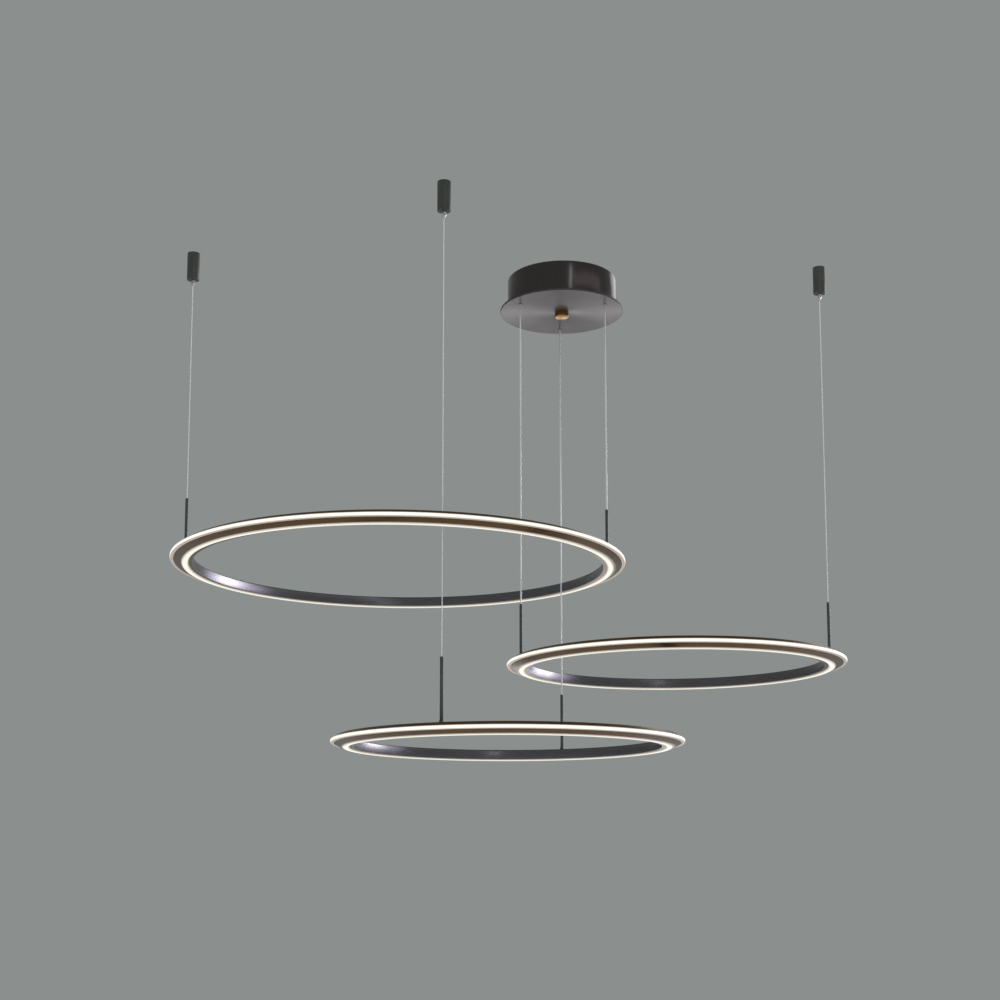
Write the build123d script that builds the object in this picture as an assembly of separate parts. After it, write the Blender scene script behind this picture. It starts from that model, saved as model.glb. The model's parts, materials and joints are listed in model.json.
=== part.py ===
from build123d import *

import os
from dataclasses import dataclass
from math import cos, hypot, radians, sin

# Three-hoop LED chandelier. Millimetres, +Z up. The origin is the centre of the canopy on the
# ceiling, +X is the viewer's right and +Y points away from the viewer. Each hoop hangs from two
# points: a power cable from the canopy and a steel wire from an anchor of its own.

# ---------------------------------------------------------------- arrangement
LARGE_RING_DIAMETER = 800.0
SMALL_RING_DIAMETER = 600.0
UPPER_DROP = 574.0  # from the ceiling to the lowest point of each hoop
MIDDLE_DROP = 748.0
LOWER_DROP = 896.0
UPPER_BEARING = 186.5  # direction from the canopy's cable hole to the anchor, degrees
MIDDLE_BEARING = -2.0
LOWER_BEARING = 248.0
EXIT_DROP = 61.0  # from the ceiling to where every cable and wire leaves its gland or nose

# ---------------------------------------------------------------- hoop section
# Insets are measured inwards from the hoop's outer diameter, heights up from its lowest point.
SECTION_WIDTH = 38.5
SECTION_HEIGHT = 20.0
SECTION_WALL = 1.6
CROWN_DROP = 2.5  # how far the bottom diffuser stands below the rims
CREST_INSET = 10.0  # outer edge of the flat top
TOP_CHAMFER = 1.5
BROW_INSET = 4.4  # edge above the side diffuser
BELLY_INSET = 5.8  # edge below the side diffuser
SIDE_SLOT_HEIGHT = 6.4
SIDE_SLOT_BASE = 8.0
SLOT_SEAT = 3.6  # depth of the seats that hold the side diffuser
PARTITION_INSET = 15.8  # outer face of the wall between the two troughs
OUTER_LIP = 2.2
RIM_WIDTH = 6.3  # inner lip, the metal rim that shows from below

# ---------------------------------------------------------------- diffusers and LED tapes
SIDE_DIFFUSER_CROWN = 1.3  # rise of its rounded front
SIDE_DIFFUSER_DEPTH = 8.0
BOTTOM_FLANGE_WIDTH = 1.2  # how far the diffuser's flange laps over each lip
BOTTOM_FLANGE_HEIGHT = 1.2
TAPE_WIDTH = 8.0
TAPE_THICKNESS = 0.8
SIDE_TAPE_BASE = 8.2
BOTTOM_TAPE_BASE = 7.0

# ---------------------------------------------------------------- rods on the hoops
ROD_INSET = 25.5  # from the hoop's outside to a rod's axis
ROD_HEIGHT = 103.0
ROD_DIAMETER = 5.6
ROD_BORE = 3.9
ROD_TOP_WALL = 1.6
ROD_TOP_HOLE = 3.1
FOOT_DIAMETER = 8.4
FOOT_HEIGHT = 5.0
FOOT_SPIGOT = 6.0
SPIGOT_CLEARANCE = 0.05
TAIL_DIAMETER = 4.0
TAIL_CLEARANCE = 0.15
ROD_NUT_FLATS = 7.0
ROD_NUT_HEIGHT = 3.2
TAIL_END = 1.0  # how far the threaded tail stands below its nut
BALL_DIAMETER = 3.6
BALL_GAP = 0.1  # between the ball and the tube's top wall
BALL_FLAT_HEIGHT = 1.3  # from the ball's centre to the flat that the wire ends on

# ---------------------------------------------------------------- cables and wires
CABLE_DIAMETER = 2.6
WIRE_DIAMETER = 1.5
CABLE_IN_GLAND = 11.0  # length of cable inside the gland
WIRE_IN_NOSE = 8.0  # length of wire inside the release nose

# ---------------------------------------------------------------- canopy
DRUM_DIAMETER = 202.0
DRUM_WALL = 1.2
DRUM_RIM = 8.0  # width of the inward rim at the ceiling
DRUM_CORNER = 3.0  # outside radius between rim and wall
PLATE_DIAMETER = 230.0
PLATE_THICKNESS = 3.5
PLATE_EDGE = 1.0
HOLE_CIRCLE_DIAMETER = 180.0
CABLE_HOLE_DIAMETER = 7.0
SPIGOT_RECESS = 1.0  # from the plate's underside up to the end of a gland's spigot
PLATE_TAB_HEIGHT = 4.0
PLATE_TAB_WALL = 1.2
PLATE_TAB_GAP = 0.4
PLATE_TAB_ARC = 24.0
BRACKET_LENGTH = 156.0
BRACKET_WIDTH = 26.0
BRACKET_SHEET = 2.0
BRACKET_DEPTH = 14.0  # from the ceiling to the underside of its dropped middle
BRACKET_MIDDLE = 56.0
BRACKET_SLOPE = 10.0  # run of each sloping leg
SCREW_SPACING = 124.0
SLOT_LENGTH = 16.0
SLOT_WIDTH = 5.0
STUD_DIAMETER = 10.0
STUD_TOP = 3.0  # below the ceiling
STUD_CLEARANCE = 0.1
STUD_NUT_FLATS = 17.0
STUD_NUT_HEIGHT = 6.0
CAP_DIAMETER = 26.0
CAP_HEIGHT = 10.0
CAP_CHAMFER = 1.2
CAP_BORE_DEPTH = 7.5
CAP_RUNNING_CLEARANCE = 0.05
CAP_END_GAP = 1.0  # between the stud's end and the bottom of the cap's bore

# ---------------------------------------------------------------- inside the canopy
DRIVER_LENGTH = 112.0
DRIVER_WIDTH = 38.0
DRIVER_HEIGHT = 26.0
DRIVER_CORNER = 5.0
DRIVER_WALL = 1.8
DRIVER_OFFSET = 38.0  # from the canopy's axis to the driver's
LID_LIP = 3.0
DRIVER_NOTCH_DIAMETER = 6.0
LID_CLEARANCE = 0.15
TERMINAL_LENGTH = 36.0
TERMINAL_WIDTH = 20.0
TERMINAL_HEIGHT = 15.0
TERMINAL_STEP = 5.0
TERMINAL_OFFSET = -46.0
TERMINAL_POLES = 3
TERMINAL_PITCH = 11.0
TERMINAL_WIRE_HOLE = 4.0
TERMINAL_SCREW_WELL = 5.0
GLAND_DIAMETER = 10.0
GLAND_HEIGHT = 12.0
GLAND_BORE = 3.4
SPIGOT_GAP = 0.1  # radial, between a gland's spigot and the plate's hole
GLAND_SCREW_DIAMETER = 3.0
GLAND_SCREW_HEIGHT = 5.5  # above the plate
GLAND_SCREW_GAP = 0.35  # between a grub screw's tip and the cable

# ---------------------------------------------------------------- ceiling anchors
CUP_DIAMETER = 22.0
CUP_LENGTH = 50.0
CUP_FLOOR = 4.0
CUP_CHAMFER = 0.8
CEILING_GAP = 0.3  # between a cup's rim and the ceiling
BASE_DIAMETER = 18.0
BASE_FLOOR = 3.0
BASE_LENGTH = 10.0
BASE_WALL = 2.2
BASE_CLEARANCE = 0.06  # radial, between base and cup
ANCHOR_SCREW_HOLE = 4.5
GRIPPER_DIAMETER = 8.0
GRIPPER_CLEARANCE = 0.05
GRIPPER_SHOULDER = 12.0
SHOULDER_HEIGHT = 2.5
GRIPPER_TAIL = 5.0  # how far it stands below the cup
GRIPPER_TOP = 8.0  # how far it stands above the cup's floor
GRIPPER_BORE = 5.0
GRIPPER_ROOF = 1.4
WIRE_HOLE = 2.2
NOSE_DIAMETER = 7.6
NOSE_TIP = 3.6
NOSE_STEM_CLEARANCE = 0.05
NOSE_TRAVEL = 1.6
NOSE_STOP_GAP = 0.3  # left above the nose's cone when it is pressed home
NOSE_STEM = 8.0  # length of stem inside the gripper
SPRING_WIRE = 0.5
SPRING_TURNS = 4
SPRING_GAP = 0.15  # between the coil and the bore, and at its ends


@dataclass(frozen=True)
class Hoop:
    """One hoop: its size, how far it hangs down and which canopy hole feeds it."""

    name: str
    diameter: float
    drop: float
    hole_angle: float
    bearing: float

    @property
    def outer(self):
        return self.diameter / 2

    @property
    def attach_radius(self):
        return self.outer - ROD_INSET

    @property
    def hole(self):
        """Where its cable leaves the canopy, on the ceiling plan."""
        return point_at(HOLE_CIRCLE_DIAMETER / 2, self.hole_angle)

    @property
    def centre(self):
        return step_from(self.hole, self.attach_radius, self.bearing)

    @property
    def anchor(self):
        """Where its ceiling anchor stands, on the ceiling plan."""
        return step_from(self.hole, 2 * self.attach_radius, self.bearing)

    @property
    def top(self):
        return SECTION_HEIGHT - self.drop

    @property
    def ball_centre(self):
        return self.top + ROD_HEIGHT - ROD_TOP_WALL - BALL_GAP - BALL_DIAMETER / 2


def point_at(radius, angle):
    return radius * cos(radians(angle)), radius * sin(radians(angle))


def step_from(start, length, angle):
    dx, dy = point_at(length, angle)
    return start[0] + dx, start[1] + dy


HOOPS = (
    Hoop("upper", LARGE_RING_DIAMETER, UPPER_DROP, -30.0, UPPER_BEARING),
    Hoop("middle", SMALL_RING_DIAMETER, MIDDLE_DROP, 210.0, MIDDLE_BEARING),
    Hoop("lower", SMALL_RING_DIAMETER, LOWER_DROP, 90.0, LOWER_BEARING),
)


# ================================================================ drawing helpers
def spun(*curves):
    """Solid of revolution about Z from curves drawn in the XZ plane."""
    return revolve(make_face(Curve() + list(curves)), axis=Axis.Z)


def outline(*points):
    """Closed polyline in the XZ plane from (radius, height) pairs."""
    return Polyline(*[(r, 0, z) for r, z in points], close=True)


def pipe(outer, inner, low, high):
    """Tube along Z; a plain rod where inner is 0."""
    body = Pos(0, 0, low) * Cylinder(outer / 2, high - low, align=SEATED)
    if inner:
        body -= Pos(0, 0, low) * Cylinder(inner / 2, high - low, align=SEATED)
    return body


def hexagon(flats, low, high, bore):
    """Hexagon nut along Z."""
    body = Pos(0, 0, low) * extrude(RegularPolygon(flats / 2, 6, major_radius=False), high - low)
    return body - pipe(bore, 0, low, high)


SEATED = (Align.CENTER, Align.CENTER, Align.MIN)


# ================================================================ hoops
def belly_height(inset):
    """Height of the sloping underside between the side diffuser and the bottom trough."""
    belly_end = PARTITION_INSET + SECTION_WALL
    share = (inset - BELLY_INSET) / (belly_end - BELLY_INSET)
    return SIDE_SLOT_BASE + share * (CROWN_DROP - SIDE_SLOT_BASE)


def frame_outline(outer):
    """The aluminium section, as (radius, height) pairs around its boundary."""
    slot_top = SIDE_SLOT_BASE + SIDE_SLOT_HEIGHT
    ceiling = SECTION_HEIGHT - SECTION_WALL
    seat_end = BROW_INSET + SLOT_SEAT
    partition_back = PARTITION_INSET + SECTION_WALL
    lip_top = CROWN_DROP + SECTION_WALL
    wall_face = SECTION_WIDTH - SECTION_WALL
    belly_web = SECTION_WALL * hypot(
        1, (SIDE_SLOT_BASE - CROWN_DROP) / (partition_back - BELLY_INSET)
    )
    inset_height = [
        (SECTION_WIDTH, CROWN_DROP),
        (SECTION_WIDTH, SECTION_HEIGHT - TOP_CHAMFER),
        (SECTION_WIDTH - TOP_CHAMFER, SECTION_HEIGHT),
        (CREST_INSET, SECTION_HEIGHT),
        (BROW_INSET, slot_top),
        (seat_end, slot_top),
        (seat_end + ceiling - slot_top, ceiling),
        (PARTITION_INSET, ceiling),
        (PARTITION_INSET, belly_height(PARTITION_INSET) + belly_web),
        (BELLY_INSET + SLOT_SEAT, SIDE_SLOT_BASE),
        (BELLY_INSET, SIDE_SLOT_BASE),
        (partition_back, CROWN_DROP),
        (partition_back + OUTER_LIP, CROWN_DROP),
        (partition_back + OUTER_LIP, lip_top),
        (partition_back, lip_top),
        (partition_back, ceiling),
        (wall_face, ceiling),
        (wall_face, lip_top),
        (SECTION_WIDTH - RIM_WIDTH, lip_top),
        (SECTION_WIDTH - RIM_WIDTH, CROWN_DROP),
    ]
    return [(outer - inset, height) for inset, height in inset_height]


def frame(outer):
    """Bent section with the two holes that the rods' tails pass through."""
    body = spun(outline(*frame_outline(outer)))
    web = (SECTION_HEIGHT - 2 * SECTION_WALL, SECTION_HEIGHT + SECTION_WALL)
    tail_hole = pipe(TAIL_DIAMETER + 2 * TAIL_CLEARANCE, 0, *web)
    for side in (-1, 1):
        body -= Pos(side * (outer - ROD_INSET), 0, 0) * tail_hole
    return body


def side_diffuser(outer):
    """Opal bead with a rounded front, held between the section's two seats."""
    low, high = SIDE_SLOT_BASE, SIDE_SLOT_BASE + SIDE_SLOT_HEIGHT
    shoulder, back = outer - SIDE_DIFFUSER_CROWN, outer - SIDE_DIFFUSER_DEPTH
    return spun(
        Polyline((shoulder, 0, low), (back, 0, low), (back, 0, high), (shoulder, 0, high)),
        ThreePointArc((shoulder, 0, high), (outer, 0, (low + high) / 2), (shoulder, 0, low)),
    )


def bottom_diffuser(outer):
    """Opal bead that bulges below the lips, with a flange that rests on them."""
    window_out = outer - PARTITION_INSET - SECTION_WALL - OUTER_LIP
    window_in = outer - SECTION_WIDTH + RIM_WIDTH
    lip_top = CROWN_DROP + SECTION_WALL
    flange_top = lip_top + BOTTOM_FLANGE_HEIGHT
    back = Polyline(
        (window_out, 0, CROWN_DROP),
        (window_out, 0, lip_top),
        (window_out + BOTTOM_FLANGE_WIDTH, 0, lip_top),
        (window_out + BOTTOM_FLANGE_WIDTH, 0, flange_top),
        (window_in - BOTTOM_FLANGE_WIDTH, 0, flange_top),
        (window_in - BOTTOM_FLANGE_WIDTH, 0, lip_top),
        (window_in, 0, lip_top),
        (window_in, 0, CROWN_DROP),
    )
    crown = ThreePointArc(
        (window_in, 0, CROWN_DROP),
        ((window_in + window_out) / 2, 0, 0),
        (window_out, 0, CROWN_DROP),
    )
    return spun(back, crown)


def side_tape(outer):
    """LED tape on the partition, facing outwards."""
    face = outer - PARTITION_INSET
    return pipe(
        2 * (face + TAPE_THICKNESS), 2 * face, SIDE_TAPE_BASE, SIDE_TAPE_BASE + TAPE_WIDTH
    )


def bottom_tape(outer):
    """LED tape on the inner wall, lighting the bottom trough from its side."""
    face = outer - SECTION_WIDTH + SECTION_WALL
    return pipe(
        2 * (face + TAPE_THICKNESS), 2 * face, BOTTOM_TAPE_BASE, BOTTOM_TAPE_BASE + TAPE_WIDTH
    )


def rod():
    """Upright tube with a closed top that its ball end hangs in."""
    low, high = SECTION_HEIGHT + FOOT_HEIGHT, SECTION_HEIGHT + ROD_HEIGHT
    return spun(
        outline(
            (ROD_BORE / 2, low),
            (ROD_DIAMETER / 2, low),
            (ROD_DIAMETER / 2, high),
            (ROD_TOP_HOLE / 2, high),
            (ROD_TOP_HOLE / 2, high - ROD_TOP_WALL),
            (ROD_BORE / 2, high - ROD_TOP_WALL),
        )
    )


def rod_foot():
    """Tapered foot: spigot up into the tube, threaded tail down through the section's top."""
    seat, top = SECTION_HEIGHT, SECTION_HEIGHT + FOOT_HEIGHT
    tail_low = SECTION_HEIGHT - SECTION_WALL - ROD_NUT_HEIGHT - TAIL_END
    spigot = ROD_BORE / 2 - SPIGOT_CLEARANCE
    return spun(
        outline(
            (0, tail_low),
            (TAIL_DIAMETER / 2, tail_low),
            (TAIL_DIAMETER / 2, seat),
            (FOOT_DIAMETER / 2, seat),
            (ROD_DIAMETER / 2, top),
            (spigot, top),
            (spigot, top + FOOT_SPIGOT),
            (0, top + FOOT_SPIGOT),
        )
    )


def rod_nut():
    high = SECTION_HEIGHT - SECTION_WALL
    return hexagon(ROD_NUT_FLATS, high - ROD_NUT_HEIGHT, high, TAIL_DIAMETER)


def wire_end():
    """Ball crimped on a wire, with its centre at the origin and a flat where the wire ends."""
    ball = Sphere(BALL_DIAMETER / 2)
    return split(ball, bisect_by=Plane.XY.offset(BALL_FLAT_HEIGHT), keep=Keep.BOTTOM)


def pair(shape, hoop):
    """Two copies of a shape, at the canopy end and at the anchor end of a hoop."""
    return [Pos(side * hoop.attach_radius, 0, 0) * shape for side in (-1, 1)]


def place_on_hoop(shapes, hoop, height):
    """Group of shapes turned to the hoop's bearing and moved to its centre."""
    x, y = hoop.centre
    return Compound(children=[Pos(x, y, height) * Rot(0, 0, hoop.bearing) * s for s in shapes])


def hoop_parts(hoop):
    """Everything that hangs with a hoop, and the two lines that carry it."""
    bottom = -hoop.drop
    line_end = hoop.ball_centre + BALL_FLAT_HEIGHT
    cable = pipe(CABLE_DIAMETER, 0, line_end, CABLE_IN_GLAND - EXIT_DROP)
    wire = pipe(WIRE_DIAMETER, 0, line_end, WIRE_IN_NOSE - EXIT_DROP)
    return {
        "ring_frame": place_on_hoop([frame(hoop.outer)], hoop, bottom),
        "ring_side_diffuser": place_on_hoop([side_diffuser(hoop.outer)], hoop, bottom),
        "ring_bottom_diffuser": place_on_hoop([bottom_diffuser(hoop.outer)], hoop, bottom),
        "ring_side_tape": place_on_hoop([side_tape(hoop.outer)], hoop, bottom),
        "ring_bottom_tape": place_on_hoop([bottom_tape(hoop.outer)], hoop, bottom),
        "ring_rods": place_on_hoop(pair(rod(), hoop), hoop, bottom),
        "ring_rod_feet": place_on_hoop(pair(rod_foot(), hoop), hoop, bottom),
        "ring_rod_nuts": place_on_hoop(pair(rod_nut(), hoop), hoop, bottom),
        "ring_wire_ends": place_on_hoop(pair(wire_end(), hoop), hoop, hoop.ball_centre),
        "ring_power_cable": Pos(*hoop.hole, 0) * cable,
        "ring_steel_wire": Pos(*hoop.anchor, 0) * wire,
    }


# ================================================================ ceiling anchors
def anchor_base():
    """Round base screwed to the ceiling, with a skirt that the cup turns on."""
    outer, inner = BASE_DIAMETER / 2, BASE_DIAMETER / 2 - BASE_WALL
    return spun(
        outline(
            (ANCHOR_SCREW_HOLE / 2, 0),
            (outer, 0),
            (outer, -BASE_LENGTH),
            (inner, -BASE_LENGTH),
            (inner, -BASE_FLOOR),
            (ANCHOR_SCREW_HOLE / 2, -BASE_FLOOR),
        )
    )


def anchor_cup():
    """Turned cup over the base, with a hole in its floor for the gripper."""
    outer, inner = CUP_DIAMETER / 2, BASE_DIAMETER / 2 + BASE_CLEARANCE
    hole = GRIPPER_DIAMETER / 2 + GRIPPER_CLEARANCE
    return spun(
        outline(
            (inner, -CEILING_GAP),
            (outer - CUP_CHAMFER, -CEILING_GAP),
            (outer, -CEILING_GAP - CUP_CHAMFER),
            (outer, CUP_CHAMFER - CUP_LENGTH),
            (outer - CUP_CHAMFER, -CUP_LENGTH),
            (hole, -CUP_LENGTH),
            (hole, CUP_FLOOR - CUP_LENGTH),
            (inner, CUP_FLOOR - CUP_LENGTH),
        )
    )


def gripper():
    """Wire gripper: a stepped barrel whose shoulder rests on the cup's floor."""
    floor = CUP_FLOOR - CUP_LENGTH
    top = floor + GRIPPER_TOP
    return spun(
        outline(
            (GRIPPER_BORE / 2, -CUP_LENGTH - GRIPPER_TAIL),
            (GRIPPER_DIAMETER / 2, -CUP_LENGTH - GRIPPER_TAIL),
            (GRIPPER_DIAMETER / 2, floor),
            (GRIPPER_SHOULDER / 2, floor),
            (GRIPPER_SHOULDER / 2, floor + SHOULDER_HEIGHT),
            (GRIPPER_DIAMETER / 2, floor + SHOULDER_HEIGHT),
            (GRIPPER_DIAMETER / 2, top),
            (WIRE_HOLE / 2, top),
            (WIRE_HOLE / 2, top - GRIPPER_ROOF),
            (GRIPPER_BORE / 2, top - GRIPPER_ROOF),
        )
    )


def nose_shoulder():
    """Height of the nose's upper face, which travels up to just short of the gripper."""
    return -CUP_LENGTH - GRIPPER_TAIL - NOSE_TRAVEL - NOSE_STOP_GAP


def stem_top():
    return -CUP_LENGTH - GRIPPER_TAIL + NOSE_STEM


def nose():
    """Release nose: a cone below the gripper and a hollow stem that slides in its bore."""
    stem = GRIPPER_BORE / 2 - NOSE_STEM_CLEARANCE
    return spun(
        outline(
            (WIRE_HOLE / 2, -EXIT_DROP),
            (NOSE_TIP / 2, -EXIT_DROP),
            (NOSE_DIAMETER / 2, nose_shoulder()),
            (stem, nose_shoulder()),
            (stem, stem_top()),
            (WIRE_HOLE / 2, stem_top()),
        )
    )


def spring():
    """Coil spring between the nose's stem and the roof of the gripper's bore."""
    low = stem_top() + SPRING_GAP + SPRING_WIRE / 2
    roof = CUP_FLOOR - CUP_LENGTH + GRIPPER_TOP - GRIPPER_ROOF
    high = roof - SPRING_GAP - SPRING_WIRE / 2
    radius = GRIPPER_BORE / 2 - SPRING_GAP - SPRING_WIRE / 2
    coil = Helix(pitch=(high - low) / SPRING_TURNS, height=high - low, radius=radius)
    section = Plane(origin=coil @ 0, z_dir=coil % 0) * Rectangle(SPRING_WIRE, SPRING_WIRE)
    return Pos(0, 0, low) * sweep(section, path=coil, is_frenet=True)


def anchor_parts(hoop):
    shapes = {
        "anchor_base": anchor_base(),
        "anchor_cup": anchor_cup(),
        "anchor_gripper": gripper(),
        "anchor_nose": nose(),
        "anchor_spring": spring(),
    }
    return {name: Pos(*hoop.anchor, 0) * shape for name, shape in shapes.items()}


# ================================================================ canopy
def plate_top():
    return PLATE_THICKNESS - EXIT_DROP - SPIGOT_RECESS


def plate_bottom():
    return -EXIT_DROP - SPIGOT_RECESS


def at_cable_holes(shape):
    """A copy of a shape at each cable hole, turned to face the canopy's axis."""
    return [Rot(0, 0, hoop.hole_angle) * Pos(HOLE_CIRCLE_DIAMETER / 2, 0, 0) * shape for hoop in HOOPS]


def drum():
    """Spun drum: a thin wall that turns in to a rim against the ceiling."""
    outer, inner, low = DRUM_DIAMETER / 2, DRUM_DIAMETER / 2 - DRUM_WALL, plate_top()
    bend = DRUM_CORNER - DRUM_WALL
    half = cos(radians(45))
    outside = ThreePointArc(
        (outer - DRUM_CORNER, 0, 0),
        (outer - DRUM_CORNER * (1 - half), 0, -DRUM_CORNER * (1 - half)),
        (outer, 0, -DRUM_CORNER),
    )
    inside = ThreePointArc(
        (inner, 0, -DRUM_CORNER),
        (inner - bend * (1 - half), 0, -DRUM_WALL - bend * (1 - half)),
        (inner - bend, 0, -DRUM_WALL),
    )
    wall = Polyline(
        (outer, 0, -DRUM_CORNER), (outer, 0, low), (inner, 0, low), (inner, 0, -DRUM_CORNER)
    )
    rim = Polyline(
        (inner - bend, 0, -DRUM_WALL),
        (outer - DRUM_RIM, 0, -DRUM_WALL),
        (outer - DRUM_RIM, 0, 0),
        (outer - DRUM_CORNER, 0, 0),
    )
    return spun(outside, wall, inside, rim)


def plate():
    """Bottom plate with its three cable holes and the tabs that centre it in the drum."""
    low, high = plate_bottom(), plate_top()
    body = pipe(PLATE_DIAMETER, STUD_DIAMETER + 2 * STUD_CLEARANCE, low, high)
    rims = body.edges().filter_by(GeomType.CIRCLE).group_by(SortBy.RADIUS)[-1]
    body = fillet(rims, PLATE_EDGE)
    for hole in at_cable_holes(pipe(CABLE_HOLE_DIAMETER, 0, low, high)):
        body -= hole
    tab_outer = DRUM_DIAMETER / 2 - DRUM_WALL - PLATE_TAB_GAP
    tab = revolve(
        make_face(
            outline(
                (tab_outer - PLATE_TAB_WALL, high),
                (tab_outer, high),
                (tab_outer, high + PLATE_TAB_HEIGHT),
                (tab_outer - PLATE_TAB_WALL, high + PLATE_TAB_HEIGHT),
            )
        ),
        axis=Axis.Z,
        revolution_arc=PLATE_TAB_ARC,
    )
    for hoop in HOOPS:
        body += Rot(0, 0, hoop.hole_angle + 60 - PLATE_TAB_ARC / 2) * tab
    return body


def bracket():
    """Pressed top-hat strip: slotted ends on the ceiling and a dropped middle for the stud."""
    half, mid = BRACKET_LENGTH / 2, BRACKET_MIDDLE / 2
    upper = [(-half, 0), (-mid - BRACKET_SLOPE, 0), (-mid, BRACKET_SHEET - BRACKET_DEPTH)]
    upper += [(-x, z) for x, z in reversed(upper)]
    lower = [(-half, -BRACKET_SHEET), (-mid - BRACKET_SLOPE, -BRACKET_SHEET), (-mid, -BRACKET_DEPTH)]
    lower += [(-x, z) for x, z in reversed(lower)]
    strip = extrude(make_face(outline(*upper, *reversed(lower))), BRACKET_WIDTH / 2, both=True)
    for side in (-1, 1):
        slot = extrude(SlotOverall(SLOT_LENGTH, SLOT_WIDTH), -2 * BRACKET_SHEET)
        strip -= Pos(side * SCREW_SPACING / 2, 0, BRACKET_SHEET / 2) * slot
    return strip - pipe(STUD_DIAMETER + 2 * STUD_CLEARANCE, 0, -2 * BRACKET_DEPTH, 0)


def stud():
    return pipe(STUD_DIAMETER, 0, plate_bottom() - CAP_BORE_DEPTH + CAP_END_GAP, -STUD_TOP)


def stud_nuts():
    """One nut above and one below the bracket's dropped middle."""
    seats = (BRACKET_SHEET - BRACKET_DEPTH, -BRACKET_DEPTH - STUD_NUT_HEIGHT)
    nuts = [hexagon(STUD_NUT_FLATS, z, z + STUD_NUT_HEIGHT, STUD_DIAMETER) for z in seats]
    return Compound(children=nuts)


def cap_nut():
    """Round brass nut with a blind bore, screwed up against the plate."""
    high = plate_bottom()
    low, outer = high - CAP_HEIGHT, CAP_DIAMETER / 2
    bore = STUD_DIAMETER / 2 + CAP_RUNNING_CLEARANCE
    return spun(
        outline(
            (0, low),
            (outer - CAP_CHAMFER, low),
            (outer, low + CAP_CHAMFER),
            (outer, high),
            (bore, high),
            (bore, high - CAP_BORE_DEPTH),
            (0, high - CAP_BORE_DEPTH),
        )
    )


def gland():
    """Cable gland on the plate, with a spigot in the plate's hole and a side screw hole."""
    seat, top = plate_top(), plate_top() + GLAND_HEIGHT
    spigot = CABLE_HOLE_DIAMETER / 2 - SPIGOT_GAP
    body = spun(
        outline(
            (GLAND_BORE / 2, -EXIT_DROP),
            (spigot, -EXIT_DROP),
            (spigot, seat),
            (GLAND_DIAMETER / 2, seat),
            (GLAND_DIAMETER / 2, top),
            (GLAND_BORE / 2, top),
        )
    )
    return body - gland_screw(0)


def gland_screw(tip):
    """Grub screw from a gland's outside to the given distance from the cable's axis."""
    length = GLAND_DIAMETER / 2 - tip
    height = plate_top() + GLAND_SCREW_HEIGHT
    return Pos(-tip, 0, height) * Rot(0, -90, 0) * Cylinder(
        GLAND_SCREW_DIAMETER / 2, length, align=SEATED
    )


def driver_tray():
    """Open tray of the LED driver's case, with a cable notch at each end."""
    body = Pos(0, DRIVER_OFFSET, plate_top()) * extrude(
        RectangleRounded(DRIVER_LENGTH, DRIVER_WIDTH, DRIVER_CORNER), DRIVER_HEIGHT - DRIVER_WALL
    )
    hollow = offset_rectangle(DRIVER_WALL)
    body -= Pos(0, DRIVER_OFFSET, plate_top() + DRIVER_WALL) * extrude(hollow, DRIVER_HEIGHT)
    notch_height = plate_top() + DRIVER_HEIGHT / 2
    notch = Pos(0, DRIVER_OFFSET, notch_height) * Rot(0, 90, 0) * Cylinder(
        DRIVER_NOTCH_DIAMETER / 2, 2 * DRIVER_LENGTH
    )
    return body - notch


def offset_rectangle(inset):
    return RectangleRounded(
        DRIVER_LENGTH - 2 * inset, DRIVER_WIDTH - 2 * inset, max(DRIVER_CORNER - inset, 0.5)
    )


def driver_lid():
    """Lid of the LED driver's case, with a lip inside the tray."""
    high = plate_top() + DRIVER_HEIGHT
    body = Pos(0, DRIVER_OFFSET, high - DRIVER_WALL) * extrude(
        RectangleRounded(DRIVER_LENGTH, DRIVER_WIDTH, DRIVER_CORNER), DRIVER_WALL
    )
    lip = offset_rectangle(DRIVER_WALL + LID_CLEARANCE) - offset_rectangle(2 * DRIVER_WALL)
    return body + Pos(0, DRIVER_OFFSET, high - DRIVER_WALL - LID_LIP) * extrude(lip, LID_LIP)


def terminal_block():
    """Mains terminal block: stepped body, a wire hole and a screw well for each pole."""
    half, step = TERMINAL_WIDTH / 2, TERMINAL_STEP
    section = Plane.YZ * Polyline(
        (-half, 0), (half, 0), (half, TERMINAL_HEIGHT - step), (half - step, TERMINAL_HEIGHT),
        (step - half, TERMINAL_HEIGHT), (-half, TERMINAL_HEIGHT - step), close=True,
    )  # fmt: skip
    body = extrude(make_face(section), TERMINAL_LENGTH / 2, both=True)
    for pole in range(TERMINAL_POLES):
        x = (pole - (TERMINAL_POLES - 1) / 2) * TERMINAL_PITCH
        body -= Pos(x, 0, TERMINAL_HEIGHT / 2) * Rot(90, 0, 0) * Cylinder(
            TERMINAL_WIRE_HOLE / 2, 2 * TERMINAL_WIDTH
        )
        for y in (-1, 1):
            well = pipe(TERMINAL_SCREW_WELL, 0, TERMINAL_HEIGHT / 2, 2 * TERMINAL_HEIGHT)
            body -= Pos(x, y * half / 2, 0) * well
    return Pos(0, TERMINAL_OFFSET, plate_top()) * body


def canopy_parts():
    screw = gland_screw(CABLE_DIAMETER / 2 + GLAND_SCREW_GAP)
    return {
        "canopy_bracket": bracket(),
        "canopy_stud": stud(),
        "canopy_stud_nuts": stud_nuts(),
        "canopy_drum": drum(),
        "canopy_plate": plate(),
        "canopy_cap_nut": cap_nut(),
        "cable_glands": Compound(children=at_cable_holes(gland())),
        "gland_screws": Compound(children=at_cable_holes(screw)),
        "driver_tray": driver_tray(),
        "driver_lid": driver_lid(),
        "terminal_block": terminal_block(),
    }


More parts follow.
